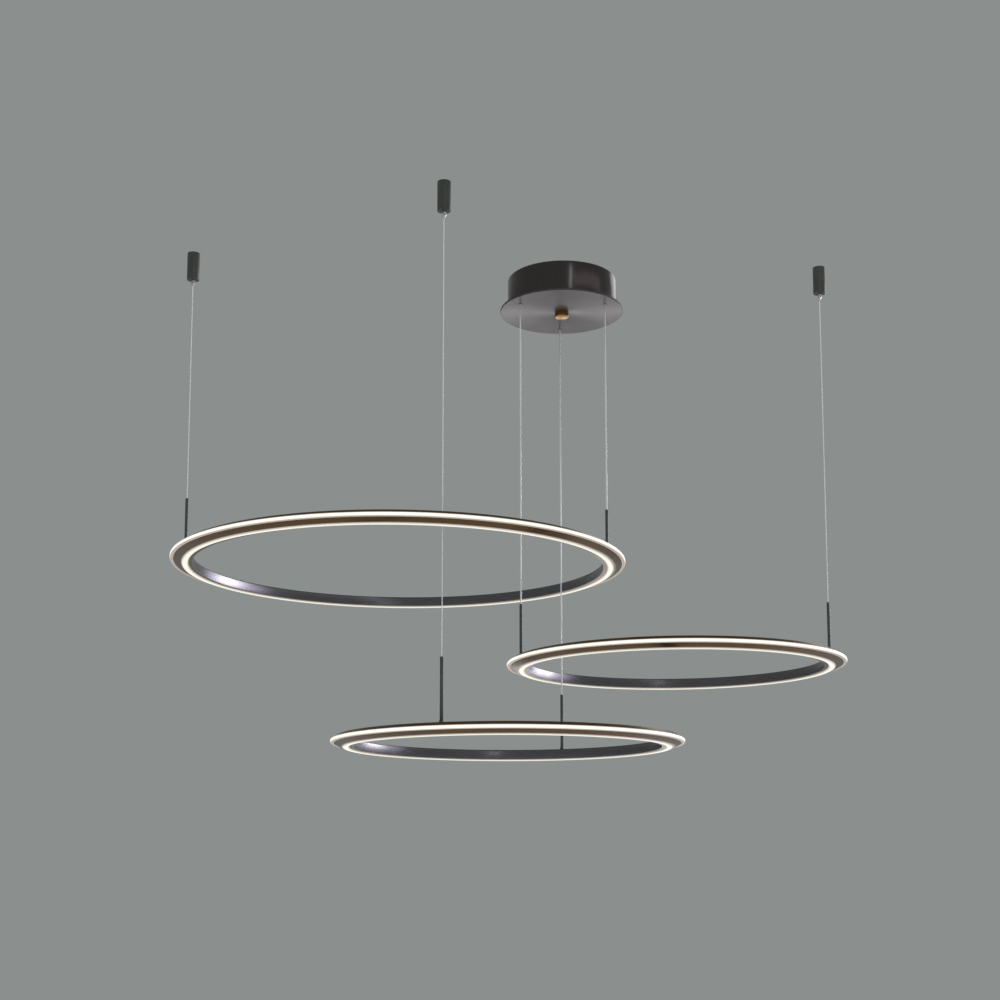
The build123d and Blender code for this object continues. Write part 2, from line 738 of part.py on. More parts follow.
# ================================================================ files
def main():
    os.makedirs("parts", exist_ok=True)
    parts = canopy_parts()
    for hoop in HOOPS:
        for group in (hoop_parts(hoop), anchor_parts(hoop)):
            parts |= {f"{hoop.name}_{name}": shape for name, shape in group.items()}
    for name, shape in parts.items():
        export_step(shape, f"parts/{name}.step")


main()
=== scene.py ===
"""Looks of the three-hoop ceiling chandelier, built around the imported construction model."""

import json
import logging
import math
from dataclasses import dataclass, field
from enum import Enum

import bmesh
import bpy
from bmesh.types import BMesh, BMVert
from bpy.types import Material, Node, NodeOutputs, NodeSocket, NodeTree, Object
from mathutils import Matrix, Vector


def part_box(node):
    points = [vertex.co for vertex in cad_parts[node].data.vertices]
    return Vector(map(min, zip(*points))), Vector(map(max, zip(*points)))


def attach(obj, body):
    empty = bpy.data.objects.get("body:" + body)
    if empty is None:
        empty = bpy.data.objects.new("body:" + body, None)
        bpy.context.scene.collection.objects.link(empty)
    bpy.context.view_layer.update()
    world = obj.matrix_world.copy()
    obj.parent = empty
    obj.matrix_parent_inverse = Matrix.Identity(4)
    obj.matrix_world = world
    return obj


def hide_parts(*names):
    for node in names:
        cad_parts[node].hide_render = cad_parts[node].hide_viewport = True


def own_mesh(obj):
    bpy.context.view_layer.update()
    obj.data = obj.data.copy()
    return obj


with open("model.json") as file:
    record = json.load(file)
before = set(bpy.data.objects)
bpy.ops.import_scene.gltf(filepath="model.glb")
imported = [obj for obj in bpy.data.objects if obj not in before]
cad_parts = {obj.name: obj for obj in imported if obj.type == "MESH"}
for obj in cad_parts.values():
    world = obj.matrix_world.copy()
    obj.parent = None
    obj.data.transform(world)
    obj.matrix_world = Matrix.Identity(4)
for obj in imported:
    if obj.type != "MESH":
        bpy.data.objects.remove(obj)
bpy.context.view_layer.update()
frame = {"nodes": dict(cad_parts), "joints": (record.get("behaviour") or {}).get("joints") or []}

Color = tuple[float, float, float]
Place = tuple[float, float, float]
Span = tuple[float, float]
Profile = list[tuple[float, float]]

LOG = logging.getLogger("chandelier")
FULL_TURN = math.tau
ORIGIN: Place = (0.0, 0.0, 0.0)
UPWARDS: Place = (0.0, 0.0, 1.0)
NOISE_BAND: Span = (0.3, 0.7)  # where most values of a noise texture lie
IMAGE_WIDTH = 1000.0  # in pixels


class Turning(Enum):
    """How finely a turned piece is stepped round its axis."""

    HOOP = 224
    CANOPY = 128
    FITTING = 48
    SMALL = 28


class End(Enum):
    """The two ends that a hoop hangs from, with the joint that stands at each."""

    CANOPY = "swing"
    ANCHOR = "anchor_turn"


class Strip(Enum):
    """The two glowing strips of a hoop."""

    SIDE = "side"
    BOTTOM = "bottom"


class Shows(Enum):
    """What a lamp's light does: everything, only reflections, or only soft light."""

    FULLY = "fully"
    SHEEN = "sheen"
    SOFTLY = "softly"


# ------------------------------------------------------------------ places read from the frame
def joint(name: str) -> dict:
    """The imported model's joint of that name."""
    return next(j for j in frame["joints"] if j["name"] == name)


@dataclass(frozen=True)
class HoopPlace:
    """Where one hoop and its two lines are, read from the model's joints and boxes.

    Args:
        name: upper, middle or lower.
    """

    name: str

    def above(self, motion: str) -> Vector:
        """The ceiling point above one of the hoop's joints."""
        return Vector((*joint(f"{self.name}_{motion}")["pos_m"][:2], 0.0))

    @property
    def axis(self) -> Vector:
        """The hoop's axis, at ceiling height."""
        return self.above("tilt")

    @property
    def ends(self) -> list[Vector]:
        """The axes of the two rods, at ceiling height."""
        return [self.above(end.value) for end in End]

    @property
    def anchor(self) -> Vector:
        """The axis of the ceiling anchor, at the ceiling."""
        return self.above(End.ANCHOR.value)

    @property
    def exit_level(self) -> float:
        """Height at which the cable and the wire leave their gland and nose."""
        return joint(f"{self.name}_swing")["pos_m"][2]

    @property
    def attach_radius(self) -> float:
        """Distance from the hoop's axis to each rod's axis."""
        hole, anchor = self.ends
        return (anchor - hole).length / 2

    @property
    def top(self) -> float:
        """Height of the flat top of the hoop's section."""
        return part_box(f"{self.name}_ring_frame")[1].z


PLACES = tuple(HoopPlace(name) for name in ("upper", "middle", "lower"))


# ------------------------------------------------------------------ mesh making
class Shaper:
    """Turned and swept meshes made with bmesh operators."""

    @staticmethod
    def outline(bm: BMesh, corners: Profile, rounds: dict[int, float]) -> None:
        """Draws a closed outline in the XZ plane and rounds some of its corners.

        Args:
            bm: the mesh to draw in.
            corners: (radius, height) of each corner, in order.
            rounds: rounding length for a corner, by its index.
        """
        verts = [bm.verts.new((r, 0.0, z)) for r, z in corners]
        bm.faces.new(verts)
        for amount in sorted(set(rounds.values())):
            chosen = [verts[i] for i, size in rounds.items() if size == amount]
            bmesh.ops.bevel(
                bm, geom=chosen, offset=amount, offset_type="OFFSET", segments=3,
                profile=0.5, affect="VERTICES", material=-1,
            )
        bmesh.ops.delete(bm, geom=bm.faces[:], context="FACES_ONLY")

    @staticmethod
    def bead(
        bm: BMesh, first: Span, last: Span, crown: float, steps: int, back: Profile
    ) -> None:
        """Draws a closed outline in the XZ plane whose front bulges.

        Args:
            bm: the mesh to draw in.
            first: (radius, height) where the front starts.
            last: (radius, height) where it ends, with the bulge on the way's right.
            crown: how far the front bulges.
            steps: straight steps in the front.
            back: corners of the rest of the outline, from the front's end on.
        """
        half = math.dist(first, last) / 2
        bend = (half * half + crown * crown) / (2 * crown)
        lean = (bend - crown) / (2 * half)
        middle = (
            (first[0] + last[0]) / 2 - (last[1] - first[1]) * lean,
            0.0,
            (first[1] + last[1]) / 2 + (last[0] - first[0]) * lean,
        )
        start = bm.verts.new((first[0], 0.0, first[1]))
        front = bmesh.ops.spin(
            bm, geom=[start], cent=middle, axis=(0, -1, 0),
            angle=2 * math.asin(half / bend), steps=steps, use_merge=False,
        )["geom_last"]
        chain = [*front, *(bm.verts.new((r, 0.0, z)) for r, z in back), start]
        for pair in zip(chain, chain[1:]):
            bm.edges.new(pair)

    @staticmethod
    def revolve(bm: BMesh, turning: Turning, places: list[Vector]) -> None:
        """Spins everything in the mesh a full turn, closes it and copies it to its places.

        Args:
            bm: the mesh, holding only an outline.
            turning: how finely it is stepped.
            places: where each copy's axis stands.
        """
        bmesh.ops.spin(
            bm, geom=bm.verts[:] + bm.edges[:], cent=ORIGIN, axis=UPWARDS, angle=FULL_TURN,
            steps=turning.value, use_merge=True,
        )
        bmesh.ops.remove_doubles(bm, verts=bm.verts[:], dist=1e-7)
        bmesh.ops.recalc_face_normals(bm, faces=bm.faces[:])
        verts = bm.verts[:]
        first = verts + bm.edges[:] + bm.faces[:]
        for place in places[1:]:
            copy = bmesh.ops.duplicate(bm, geom=first)["geom"]
            moved = [g for g in copy if isinstance(g, BMVert)]
            bmesh.ops.translate(bm, verts=moved, vec=place)
        bmesh.ops.translate(bm, verts=verts, vec=places[0])

    @staticmethod
    def close(bm: BMesh) -> None:
        """Fills the two ends of a swept tube and turns its faces outwards."""
        bmesh.ops.holes_fill(bm, edges=bm.edges[:], sides=0)
        bmesh.ops.recalc_face_normals(bm, faces=bm.faces[:])

    @staticmethod
    def piece(bm: BMesh, name: str, crease: float = 35.0) -> Object:
        """Turns a finished bmesh into an object at the origin, smooth except at sharp edges.

        Args:
            bm: the finished mesh, which is freed.
            name: the new object's name.
            crease: angle in degrees past which an edge stays sharp.
        Returns:
            The new object.
        """
        mesh = bpy.data.meshes.new(name)
        bm.to_mesh(mesh)
        bm.free()
        for polygon in mesh.polygons:
            polygon.use_smooth = True
        mesh.set_sharp_from_angle(angle=math.radians(crease))
        made = bpy.data.objects.new(name, mesh)
        bpy.context.scene.collection.objects.link(made)
        return made

    @classmethod
    def turned(
        cls, name: str, corners: Profile, turning: Turning, places: list[Vector],
        rounds: dict[int, float], crease: float = 35.0,
    ) -> Object:
        """A turned piece, repeated at each of its places.

        Args:
            name: the new object's name.
            corners: (radius, height) of each corner of the closed outline.
            turning: how finely it is stepped.
            places: where each copy's axis stands.
            rounds: rounding length for a corner, by its index.
            crease: angle in degrees past which an edge stays sharp.
        Returns:
            The new object.
        """
        bm = bmesh.new()
        cls.outline(bm, corners, rounds)
        cls.revolve(bm, turning, places)
        return cls.piece(bm, name, crease)


# ------------------------------------------------------------------ shader building blocks
class Sheet:
    """A node tree being drawn: places nodes and joins their sockets.

    Args:
        tree: the node tree of a material, a group or the world.
    """

    def __init__(self, tree: NodeTree) -> None:
        """Clears the tree for drawing."""
        self.tree = tree
        self.tree.nodes.clear()

    def feed(self, target: NodeSocket, source: object) -> None:
        """Joins a socket to a source socket, or sets its value.

        Args:
            target: the input socket.
            source: an output socket, a number, a vector or a colour.
        """
        if isinstance(source, NodeSocket):
            self.tree.links.new(source, target)
        else:
            target.default_value = (*source, 1.0) if target.type == "RGBA" else source

    def node(self, kind: str, *values: object, **settings: object) -> Node:
        """Adds a node.

        Args:
            kind: the node's type, without the ShaderNode prefix.
            values: what feeds its inputs, in order, with None for one that is left alone.
            settings: attributes to set on it first.
        Returns:
            The new node.
        """
        made = self.tree.nodes.new(kind if kind.startswith("Node") else f"ShaderNode{kind}")
        for key, value in settings.items():
            setattr(made, key, value)
        for socket, value in zip(made.inputs, values):
            if value is not None:
                self.feed(socket, value)
        return made

    def math(self, operation: str, *values: object) -> NodeSocket:
        """The result of a Math node."""
        return self.node("Math", *values, operation=operation).outputs[0]

    def vector(self, operation: str, *values: object) -> NodeSocket:
        """The vector that a Vector Math node puts out."""
        return self.node("VectorMath", *values, operation=operation).outputs[0]

    def noise(self, place: NodeSocket, scale: object, detail: float) -> NodeSocket:
        """The value of a noise texture."""
        return self.node("TexNoise", place, None, scale, detail).outputs["Fac"]

    def spread(self, value: NodeSocket, low: float, high: float, *to: float) -> NodeSocket:
        """Maps the range from low to high to another, and holds the result in it."""
        return self.node("MapRange", value, low, high, *to, clamp=True).outputs[0]

    def tone(self, noise: NodeSocket, low: float = 0.0, high: float = 1.0) -> NodeSocket:
        """Spreads a noise value over a range."""
        return self.spread(noise, *NOISE_BAND, low, high)

    def blend(self, share: NodeSocket, first: object, second: object) -> NodeSocket:
        """Mixes two colours, by the second one's share."""
        unused = [None] * 5
        return self.node("Mix", share, *unused, first, second, data_type="RGBA").outputs[2]

    def place(self) -> NodeSocket:
        """Object coordinates."""
        return self.node("TexCoord").outputs["Object"]

    def arm(self, centre: object) -> tuple[NodeSocket, ...]:
        """The x, y and z of the way from a centre."""
        way = self.vector("SUBTRACT", self.place(), centre)
        return tuple(self.node("SeparateXYZ", way).outputs)

    def radius(self, x: NodeSocket, y: NodeSocket) -> NodeSocket:
        """The distance from an upright axis."""
        squares = self.math("MULTIPLY", x, x), self.math("MULTIPLY", y, y)
        return self.math("SQRT", self.math("ADD", *squares))


class Effect:
    """A shader node group with named inputs and outputs.

    Args:
        name: the group's name.
        inputs: default of each input, a number or a vector, by name.
        outputs: name of each output, a number.
    """

    def __init__(self, name: str, inputs: dict[str, object], outputs: tuple[str, ...]) -> None:
        """Makes the group and its sockets."""
        self.tree = bpy.data.node_groups.new(name, "ShaderNodeTree")
        for label, value in inputs.items():
            kind = "NodeSocketVector" if isinstance(value, tuple) else "NodeSocketFloat"
            made = self.tree.interface.new_socket(label, in_out="INPUT", socket_type=kind)
            made.default_value = value
        for label in outputs:
            self.tree.interface.new_socket(
                label, in_out="OUTPUT", socket_type="NodeSocketFloat"
            )
        self.sheet = Sheet(self.tree)
        self.given = self.sheet.node("NodeGroupInput").outputs
        self.result = self.sheet.node("NodeGroupOutput").inputs

    def give(self, **values: NodeSocket) -> None:
        """Joins the group's outputs, by name."""
        for label, value in values.items():
            self.sheet.feed(self.result[label], value)

    def place(self, sheet: Sheet, **values: object) -> NodeOutputs:
        """Places the group in a material.

        Args:
            sheet: the material being drawn.
            values: its inputs by name, with underscores for spaces.
        Returns:
            The group's outputs.
        """
        made = sheet.node("Group", node_tree=self.tree)
        for label, value in values.items():
            sheet.feed(made.inputs[label.replace("_", " ")], value)
        return made.outputs


def brushed_round() -> Effect:
    """Fine lines that run round an axis, as turning or belt brushing leaves them.

    Returns:
        The effect, with the lines, a cloudy wear value and the distance from the axis.
    """
    made = Effect(
        "BrushedRound", {"Centre": ORIGIN, "Lines per metre": 2500.0, "Streak": 9.0},
        ("Lines", "Cloud", "Radius"),
    )
    s, given = made.sheet, made.given
    x, y, z = s.arm(given["Centre"])
    radius, lines = s.radius(x, y), given["Lines per metre"]
    pattern = s.node(
        "CombineXYZ", s.math("MULTIPLY", radius, lines),
        s.math("MULTIPLY", s.math("ARCTAN2", y, x), given["Streak"]),
        s.math("MULTIPLY", z, lines),
    ).outputs[0]
    cloud = s.noise(s.place(), scale=14.0, detail=3.0)
    made.give(Lines=s.noise(pattern, scale=1.0, detail=3.0), Cloud=cloud, Radius=radius)
    return made


def brushed_upright() -> Effect:
    """Fine upright lines on a wall round an axis.

    Returns:
        The effect, with the lines and a cloudy wear value.
    """
    made = Effect(
        "BrushedUpright", {"Centre": ORIGIN, "Lines per turn": 900.0}, ("Lines", "Cloud")
    )
    s, given = made.sheet, made.given
    x, y, z = s.arm(given["Centre"])
    across = s.math("MULTIPLY", s.math("ARCTAN2", y, x), given["Lines per turn"])
    fades_per_metre = 16.0
    along = s.math("MULTIPLY", z, fades_per_metre)
    pattern = s.node("CombineXYZ", across, None, along).outputs[0]
    cloud = s.noise(s.place(), scale=9.0, detail=3.0)
    made.give(Lines=s.noise(pattern, scale=1.0, detail=2.0), Cloud=cloud)
    return made


def laid_strands() -> Effect:
    """Strands laid in a helix round an upright axis.

    Returns:
        The effect, with a crown value that is 1 on each strand and 0 between strands.
    """
    made = Effect(
        "LaidStrands", {"Axis": ORIGIN, "Strands": 6.0, "Turns per metre": 90.0}, ("Crown",)
    )
    s, given = made.sheet, made.given
    x, y, z = s.arm(given["Axis"])
    turns = s.math("MULTIPLY", z, given["Turns per metre"])
    angle = s.math("MULTIPLY_ADD", turns, FULL_TURN, s.math("ARCTAN2", y, x))
    wave = s.math("COSINE", s.math("MULTIPLY", angle, given["Strands"]))
    made.give(Crown=s.math("MULTIPLY_ADD", wave, 0.5, 0.5))
    return made


def moulded_grain() -> Effect:
    """Fine spark-eroded grain of a moulded or powder-coated face.

    Returns:
        The effect, with the grain and a slow tone value.
    """
    made = Effect("MouldedGrain", {"Grain": 900.0}, ("Grain", "Tone"))
    s = made.sheet
    grain = s.noise(s.place(), scale=made.given["Grain"], detail=2.0)
    made.give(Grain=grain, Tone=s.noise(s.place(), scale=22.0, detail=2.0))
    return made


def led_glow() -> Effect:
    """Light behind an opal strip: bright along its middle, dimmer at the lips that hold it.

    Returns:
        The effect, with the glow from 0 to 1 and a milky cloud value.
    """
    made = Effect(
        "LedGlow",
        {
            "Middle": ORIGIN, "Middle radius": 0.3, "Half width": 0.003, "Upright": 0.0,
            "LEDs per turn": 288.0,
        },
        ("Glow", "Milk"),
    )
    s, given = made.sheet, made.given
    fade_from, fade_to, ripple = 0.40, 0.98, 0.02
    x, y, z = s.arm(given["Middle"])
    flat = s.math("SUBTRACT", s.radius(x, y), given["Middle radius"])
    across = s.node("Mix", given["Upright"], None, flat, z, data_type="FLOAT").outputs[0]
    share = s.math("DIVIDE", s.math("ABSOLUTE", across), given["Half width"])
    fade = s.spread(share, fade_from, fade_to, 1.0, 0.0)
    fade.node.interpolation_type = "SMOOTHSTEP"
    wave = s.math("COSINE", s.math("MULTIPLY", s.math("ARCTAN2", y, x), given["LEDs per turn"]))
    glow = s.math("MULTIPLY", fade, s.math("MULTIPLY_ADD", wave, ripple, 1.0 - ripple))
    made.give(Glow=glow, Milk=s.noise(s.place(), scale=40.0, detail=2.0))
    return made


@dataclass
class Effects:
    """The shared shader groups, built once, and the materials made with them, by name."""

    brushed_round: Effect = field(default_factory=brushed_round)
    brushed_upright: Effect = field(default_factory=brushed_upright)
    strands: Effect = field(default_factory=laid_strands)
    grain: Effect = field(default_factory=moulded_grain)
    glow: Effect = field(default_factory=led_glow)
    materials: dict[str, Material] = field(default_factory=dict)


# ------------------------------------------------------------------ finishes
class Skin(Sheet):
    """A material being drawn, with its Principled BSDF and its output.

    Args:
        name: the material's name.
    """

    def __init__(self, name: str) -> None:
        """Makes the material and its two standing nodes."""
        self.material = bpy.data.materials.new(name)
        self.material.use_nodes = True
        super().__init__(self.material.node_tree)
        self.shader = self.node("BsdfPrincipled")
        self.node("OutputMaterial", self.shader.outputs[0])

    def set(self, **values: object) -> None:
        """Sets or joins the shader's sockets, named with underscores for spaces."""
        for label, value in values.items():
            self.feed(self.shader.inputs[label.replace("_", " ")], value)

    def across_lines(self, centre: object) -> NodeSocket:
        """The direction across lines that run round an upright axis.

        Args:
            centre: a point on the axis.
        Returns:
            A vector that leans outwards and up, so that it suits flat faces and walls.
        """
        arm = self.vector("SUBTRACT", self.place(), centre)
        level, rise = (1.0, 1.0, 0.0), (0.0, 0.0, 0.45)
        outwards = self.vector("NORMALIZE", self.vector("MULTIPLY", arm, level))
        return self.vector("ADD", outwards, rise)

    def bump(self, height: NodeSocket, strength: float, depth: float = 0.0001) -> None:
        """Feeds a height to the shader's normal.

        Args:
            height: the height value.
            strength: the bump's strength.
            depth: its depth in metres.
        """
        made = self.node("Bump", strength, depth)
        self.feed(made.inputs["Height"], height)
        self.set(Normal=made.outputs[0])


@dataclass(frozen=True)
class Finish:
    """Base of every finish.

    Args:
        name: the material's name.
    """

    name: str

    def draw(self, skin: Skin, effects: Effects) -> None:
        """Draws the finish's nodes. Every finish has its own way."""
        raise NotImplementedError

    def material(self, effects: Effects) -> Material:
        """The finish's material, made the first time that it is asked for.

        Args:
            effects: the shared shader groups.
        Returns:
            The material.
        """
        if self.name not in effects.materials:
            skin = Skin(self.name)
            self.draw(skin, effects)
            effects.materials[self.name] = skin.material
        return effects.materials[self.name]


@dataclass(frozen=True)
class LinedMetal(Finish):
    """What the metals with fine lines share.

    Args:
        dark: colour in the lines.
        light: colour between them.
        rough: lowest and highest roughness.
        centre: a point on the axis.
        lines: lines per turn, or per metre where they run round.
        wear: how far cloudy wear changes the roughness.
        relief: how far the lines stand out.
    """

    dark: Color
    light: Color
    rough: Span
    centre: Place | Vector = ORIGIN
    lines: float = 900.0
    wear: float = 0.025
    relief: float = 0.08

    def color(self, skin: Skin, out: NodeOutputs) -> NodeSocket:
        """The metal's colour, along its lines."""
        return skin.blend(skin.tone(out["Lines"]), self.dark, self.light)

    def metal(self, skin: Skin, out: NodeOutputs) -> NodeSocket:
        """Draws the metal.

        Args:
            skin: the material being drawn.
            out: the outputs of the effect that gives the lines.
        Returns:
            The roughness.
        """
        cloud = skin.tone(out["Cloud"], -self.wear, self.wear)
        rough = skin.math("ADD", cloud, skin.tone(out["Lines"], *self.rough))
        skin.set(Base_Color=self.color(skin, out), Metallic=1.0, Roughness=rough)
        skin.bump(out["Lines"], self.relief)
        return rough


@dataclass(frozen=True)
class UprightMetal(LinedMetal):
    """Dark metal with fine upright lines."""

    def draw(self, skin: Skin, effects: Effects) -> None:
        """Draws the finish's nodes."""
        values = {"Centre": self.centre, "Lines_per_turn": self.lines}
        self.metal(skin, effects.brushed_upright.place(skin, **values))


@dataclass(frozen=True)
class BrushedMetal(LinedMetal):
    """Metal brushed round an axis.

    Args:
        streak: how many streaks long a turn is.
        coat: clear lacquer weight.
        anisotropic: how far highlights stretch across the lines.
        rim: radius where a rounded edge starts that brushing leaves matt, or 0 for none.
        rim_width: how wide that change is.
        rim_matt: how much rougher the edge is.
    """

    lines: float = 2500.0
    wear: float = 0.03
    relief: float = 0.10
    streak: float = 9.0
    coat: float = 0.0
    anisotropic: float = 0.0
    rim: float = 0.0
    rim_width: float = 0.0004
    rim_matt: float = 0.4

    def draw(self, skin: Skin, effects: Effects) -> None:
        """Draws the finish's nodes.

        Args:
            skin: the material being drawn.
            effects: the shared shader groups.
        """
        out = effects.brushed_round.place(
            skin, Centre=self.centre, Lines_per_metre=self.lines, Streak=self.streak
        )
        rough = self.metal(skin, out)
        if self.rim:
            rim = (self.rim, self.rim + self.rim_width, 0.0, self.rim_matt)
            skin.set(Roughness=skin.math("ADD", rough, skin.spread(out["Radius"], *rim)))
        if self.anisotropic:
            skin.set(Anisotropic=self.anisotropic, Tangent=skin.across_lines(self.centre))
        if self.coat:
            skin.set(Coat_Weight=self.coat, Coat_Roughness=0.12)


@dataclass(frozen=True)
class HoopBronzeWithPaintedReflection(BrushedMetal):
    """Hoop section in bronze-brown with a gunmetal inner wall; the split is partly its own two
    tones and partly painted reflection, warm strip light on the brown and cool lavender light on
    the wall.

    Args:
        wall_radius: radius of the inner wall's face.
        wall_metal_and_reflection_dark: gunmetal in the lines.
        wall_metal_and_reflection_light: gunmetal between them.
        blend_width: width of the change from one tone to the other.
    """

    # the brown outside, made darker and warmer in part as painted reflection of the strips' warm
    # light
    dark: Color = (0.107, 0.060, 0.026)
    light: Color = (0.181, 0.108, 0.051)
    rough: Span = (0.26, 0.34)
    lines: float = 2600.0
    wear: float = 0.02
    relief: float = 0.04
    streak: float = 14.0
    anisotropic: float = 0.3
    wall_radius: float = 0.0
    # gunmetal of the inner wall, tinted lavender in part as painted reflection of the cool light
    # on it
    wall_metal_and_reflection_dark: Color = (0.140, 0.132, 0.143)
    wall_metal_and_reflection_light: Color = (0.202, 0.191, 0.206)
    blend_width: float = 0.0012

    def color(self, skin: Skin, out: NodeOutputs) -> NodeSocket:
        """The gunmetal of the inner wall and the brown everywhere else, both partly painted
        reflection.

        Args:
            skin: the material being drawn.
            out: the outputs of the effect that gives the lines.
        Returns:
            The colour.
        """
        # partly painted reflection: a cool lavender gunmetal on the wall and a warm brown
        # elsewhere, split by radius
        wall = skin.blend(skin.tone(out["Lines"]), self.wall_metal_and_reflection_dark, self.wall_metal_and_reflection_light)
        change = (self.wall_radius, self.wall_radius + self.blend_width, 0.0, 1.0)
        outside = skin.spread(out["Radius"], *change)
        return skin.blend(outside, wall, super().color(skin, out))


@dataclass(frozen=True)
class Moulded(Finish):
    """Moulded plastic or powder coat with a fine grain.

    Args:
        dark: darker tone.
        light: lighter tone.
        rough: lowest and highest roughness.
        grain: grain scale.
        metallic: metallic share, for a metallic powder.
        relief: how far the grain stands out.
    """

    dark: Color
    light: Color
    rough: Span
    grain: float = 900.0
    metallic: float = 0.0
    relief: float = 0.1

    def draw(self, skin: Skin, effects: Effects) -> None:
        """Draws the finish's nodes.

        Args:
            skin: the material being drawn.
            effects: the shared shader groups.
        """
        out = effects.grain.place(skin, Grain=self.grain)
        skin.set(
            Base_Color=skin.blend(skin.tone(out["Tone"]), self.dark, self.light),
            Metallic=self.metallic,
            Roughness=skin.tone(out["Grain"], *self.rough),
        )
        skin.bump(out["Grain"], self.relief)


@dataclass(frozen=True)
class Opal(Finish):
    """Opal diffuser lit from behind by LEDs.

    Args:
        middle: a point on the hoop's axis, at the height of the strip's middle.
        radius: distance from the axis to the strip's middle.
        half_width: half of the strip's width between its lips.
        upright: whether the strip stands on the hoop's outside.
        leds: LEDs in a full turn.
        strength: emission strength.
        dark: darker tone of the opal.
        light: lighter tone of it.
        rough: lowest and highest roughness.
        edge: glow at the lips.
        bright: glow along the middle.
    """

    middle: Vector
    radius: float
    half_width: float
    upright: bool
    leds: float
    strength: float
    dark: Color = (0.50, 0.485, 0.455)
    light: Color = (0.56, 0.55, 0.52)
    rough: Span = (0.38, 0.5)
    edge: Color = (0.22, 0.148, 0.087)
    bright: Color = (1.0, 0.957, 0.815)

    def draw(self, skin: Skin, effects: Effects) -> None:
        """Draws the finish's nodes.

        Args:
            skin: the material being drawn.
            effects: the shared shader groups.
        """
        out = effects.glow.place(
            skin, Middle=self.middle, Middle_radius=self.radius, Half_width=self.half_width,
            Upright=float(self.upright), LEDs_per_turn=self.leds,
        )
        skin.set(
            Base_Color=skin.blend(skin.tone(out["Milk"]), self.dark, self.light),
            Roughness=skin.tone(out["Milk"], *self.rough),
            Emission_Color=skin.blend(out["Glow"], self.edge, self.bright),
            Emission_Strength=self.strength,
        )


@dataclass(frozen=True)
class Stranded(Finish):
    """What the cable and the wire share: strands laid round an upright axis.

    Args:
        axis: a point on their axis.
        dark: colour between the strands.
        light: colour on them.
        rough: roughness between them and on them.
        strands: how many there are.
        turns: their turns per metre.
        metallic: metallic share.
    """

    axis: Vector
    dark: Color
    light: Color
    rough: Span
    strands: float
    turns: float
    metallic: float = 0.1

    def crown(self, skin: Skin, effects: Effects) -> NodeSocket:
        """Places the strands and draws the roughness that they give.

        Args:
            skin: the material being drawn.
            effects: the shared shader groups.
        Returns:
            A value that is 1 on each strand and 0 between strands.
        """
        found = effects.strands.place(
            skin, Axis=self.axis, Strands=self.strands, Turns_per_metre=self.turns
        )["Crown"]
        skin.set(Roughness=skin.spread(found, 0.0, 1.0, *self.rough))
        return found


@dataclass(frozen=True)
class ClearCable(Stranded):
    """Clear sheath over twisted tinned wires.

    Args:
        shown: crown values between which the wires come to show through the sheath.
    """

    dark: Color = (0.46, 0.47, 0.46)
    light: Color = (0.80, 0.82, 0.80)
    rough: Span = (0.45, 0.3)
    strands: float = 3.0
    turns: float = 28.0
    shown: Span = (0.05, 0.55)

    def draw(self, skin: Skin, effects: Effects) -> None:
        """Draws the finish's nodes.

        Args:
            skin: the material being drawn.
            effects: the shared shader groups.
        """
        crown = self.crown(skin, effects)
        wires = skin.spread(crown, *self.shown, 0.0, 1.0)
        skin.set(
            Base_Color=skin.blend(wires, self.dark, self.light),
            Metallic=skin.math("MULTIPLY", wires, self.metallic),
            Coat_Weight=1.0,
            Coat_Roughness=0.06,
        )
        skin.bump(crown, strength=0.2, depth=0.0002)


@dataclass(frozen=True)
class LaidSteel(Stranded):
    """Bright steel strands."""

    dark: Color = (0.80, 0.81, 0.79)
    light: Color = (0.95, 0.96, 0.94)
    rough: Span = (0.5, 0.32)
    strands: float = 6.0
    turns: float = 90.0

    def draw(self, skin: Skin, effects: Effects) -> None:
        """Draws the finish's nodes."""
        color = skin.blend(self.crown(skin, effects), self.dark, self.light)
        skin.set(Base_Color=color, Metallic=self.metallic)


@dataclass(frozen=True)
class PlainFloor(Finish):
    """Pale studio floor.

    Args:
        light: its colour.
        shade: how dark its darker tone is, as a share of that.
        rough: lowest and highest roughness.
    """

    light: Color = (0.74, 0.745, 0.74)
    shade: float = 0.97
    rough: Span = (0.6, 0.8)

    def draw(self, skin: Skin, effects: Effects) -> None:
        """Draws the finish's nodes.

        Args:
            skin: the material being drawn.
            effects: the shared shader groups.
        """
        out = effects.grain.place(skin, Grain=60.0)
        dark = tuple(self.shade * value for value in self.light)
        skin.set(
            Base_Color=skin.blend(out["Tone"], dark, self.light),
            Roughness=skin.tone(out["Grain"], *self.rough),
        )


GUNMETAL = ((0.070, 0.057, 0.058), (0.122, 0.101, 0.103))
PLATE_METAL = ((0.148, 0.132, 0.132), (0.200, 0.180, 0.181))
BRASS = ((0.37, 0.190, 0.058), (0.54, 0.320, 0.125))
ZINC = ((0.46, 0.47, 0.48), (0.66, 0.67, 0.68), (0.3, 0.42))
ZINC_LINES = 3800.0


# ------------------------------------------------------------------ sub-assemblies
@dataclass
class Assembly:
    """What every sub-assembly does with its pieces.

    Args:
        effects: the shared shader groups.
    """

    effects: Effects

    def dress(self, finish: Finish, *nodes: str) -> None:
        """Gives construction nodes a finish.

        Args:
            finish: their finish.
            nodes: the nodes' names.
        """
        material = finish.material(self.effects)
        for node in nodes:
            slots = frame["nodes"][node].material_slots
            if not slots:
                frame["nodes"][node].data.materials.append(material)
            for slot in slots:
                slot.material = material
            LOG.info("dressed %s with %s", node, material.name)

    def fit(self, made: Object, body: str, node: str, slot: str, finish: Finish) -> None:
        """Lets a modelled piece stand for a node, ride on its body and take its finish.

        Args:
            made: the piece.
            body: the body it rides on.
            node: the node it stands for.
            slot: the record's material slot; not used.
            finish: the piece's finish.
        """
        made.data.materials.append(finish.material(self.effects))
        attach(made, body)
        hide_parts(node)
        LOG.info("modelled %s on %s", made.name, body)


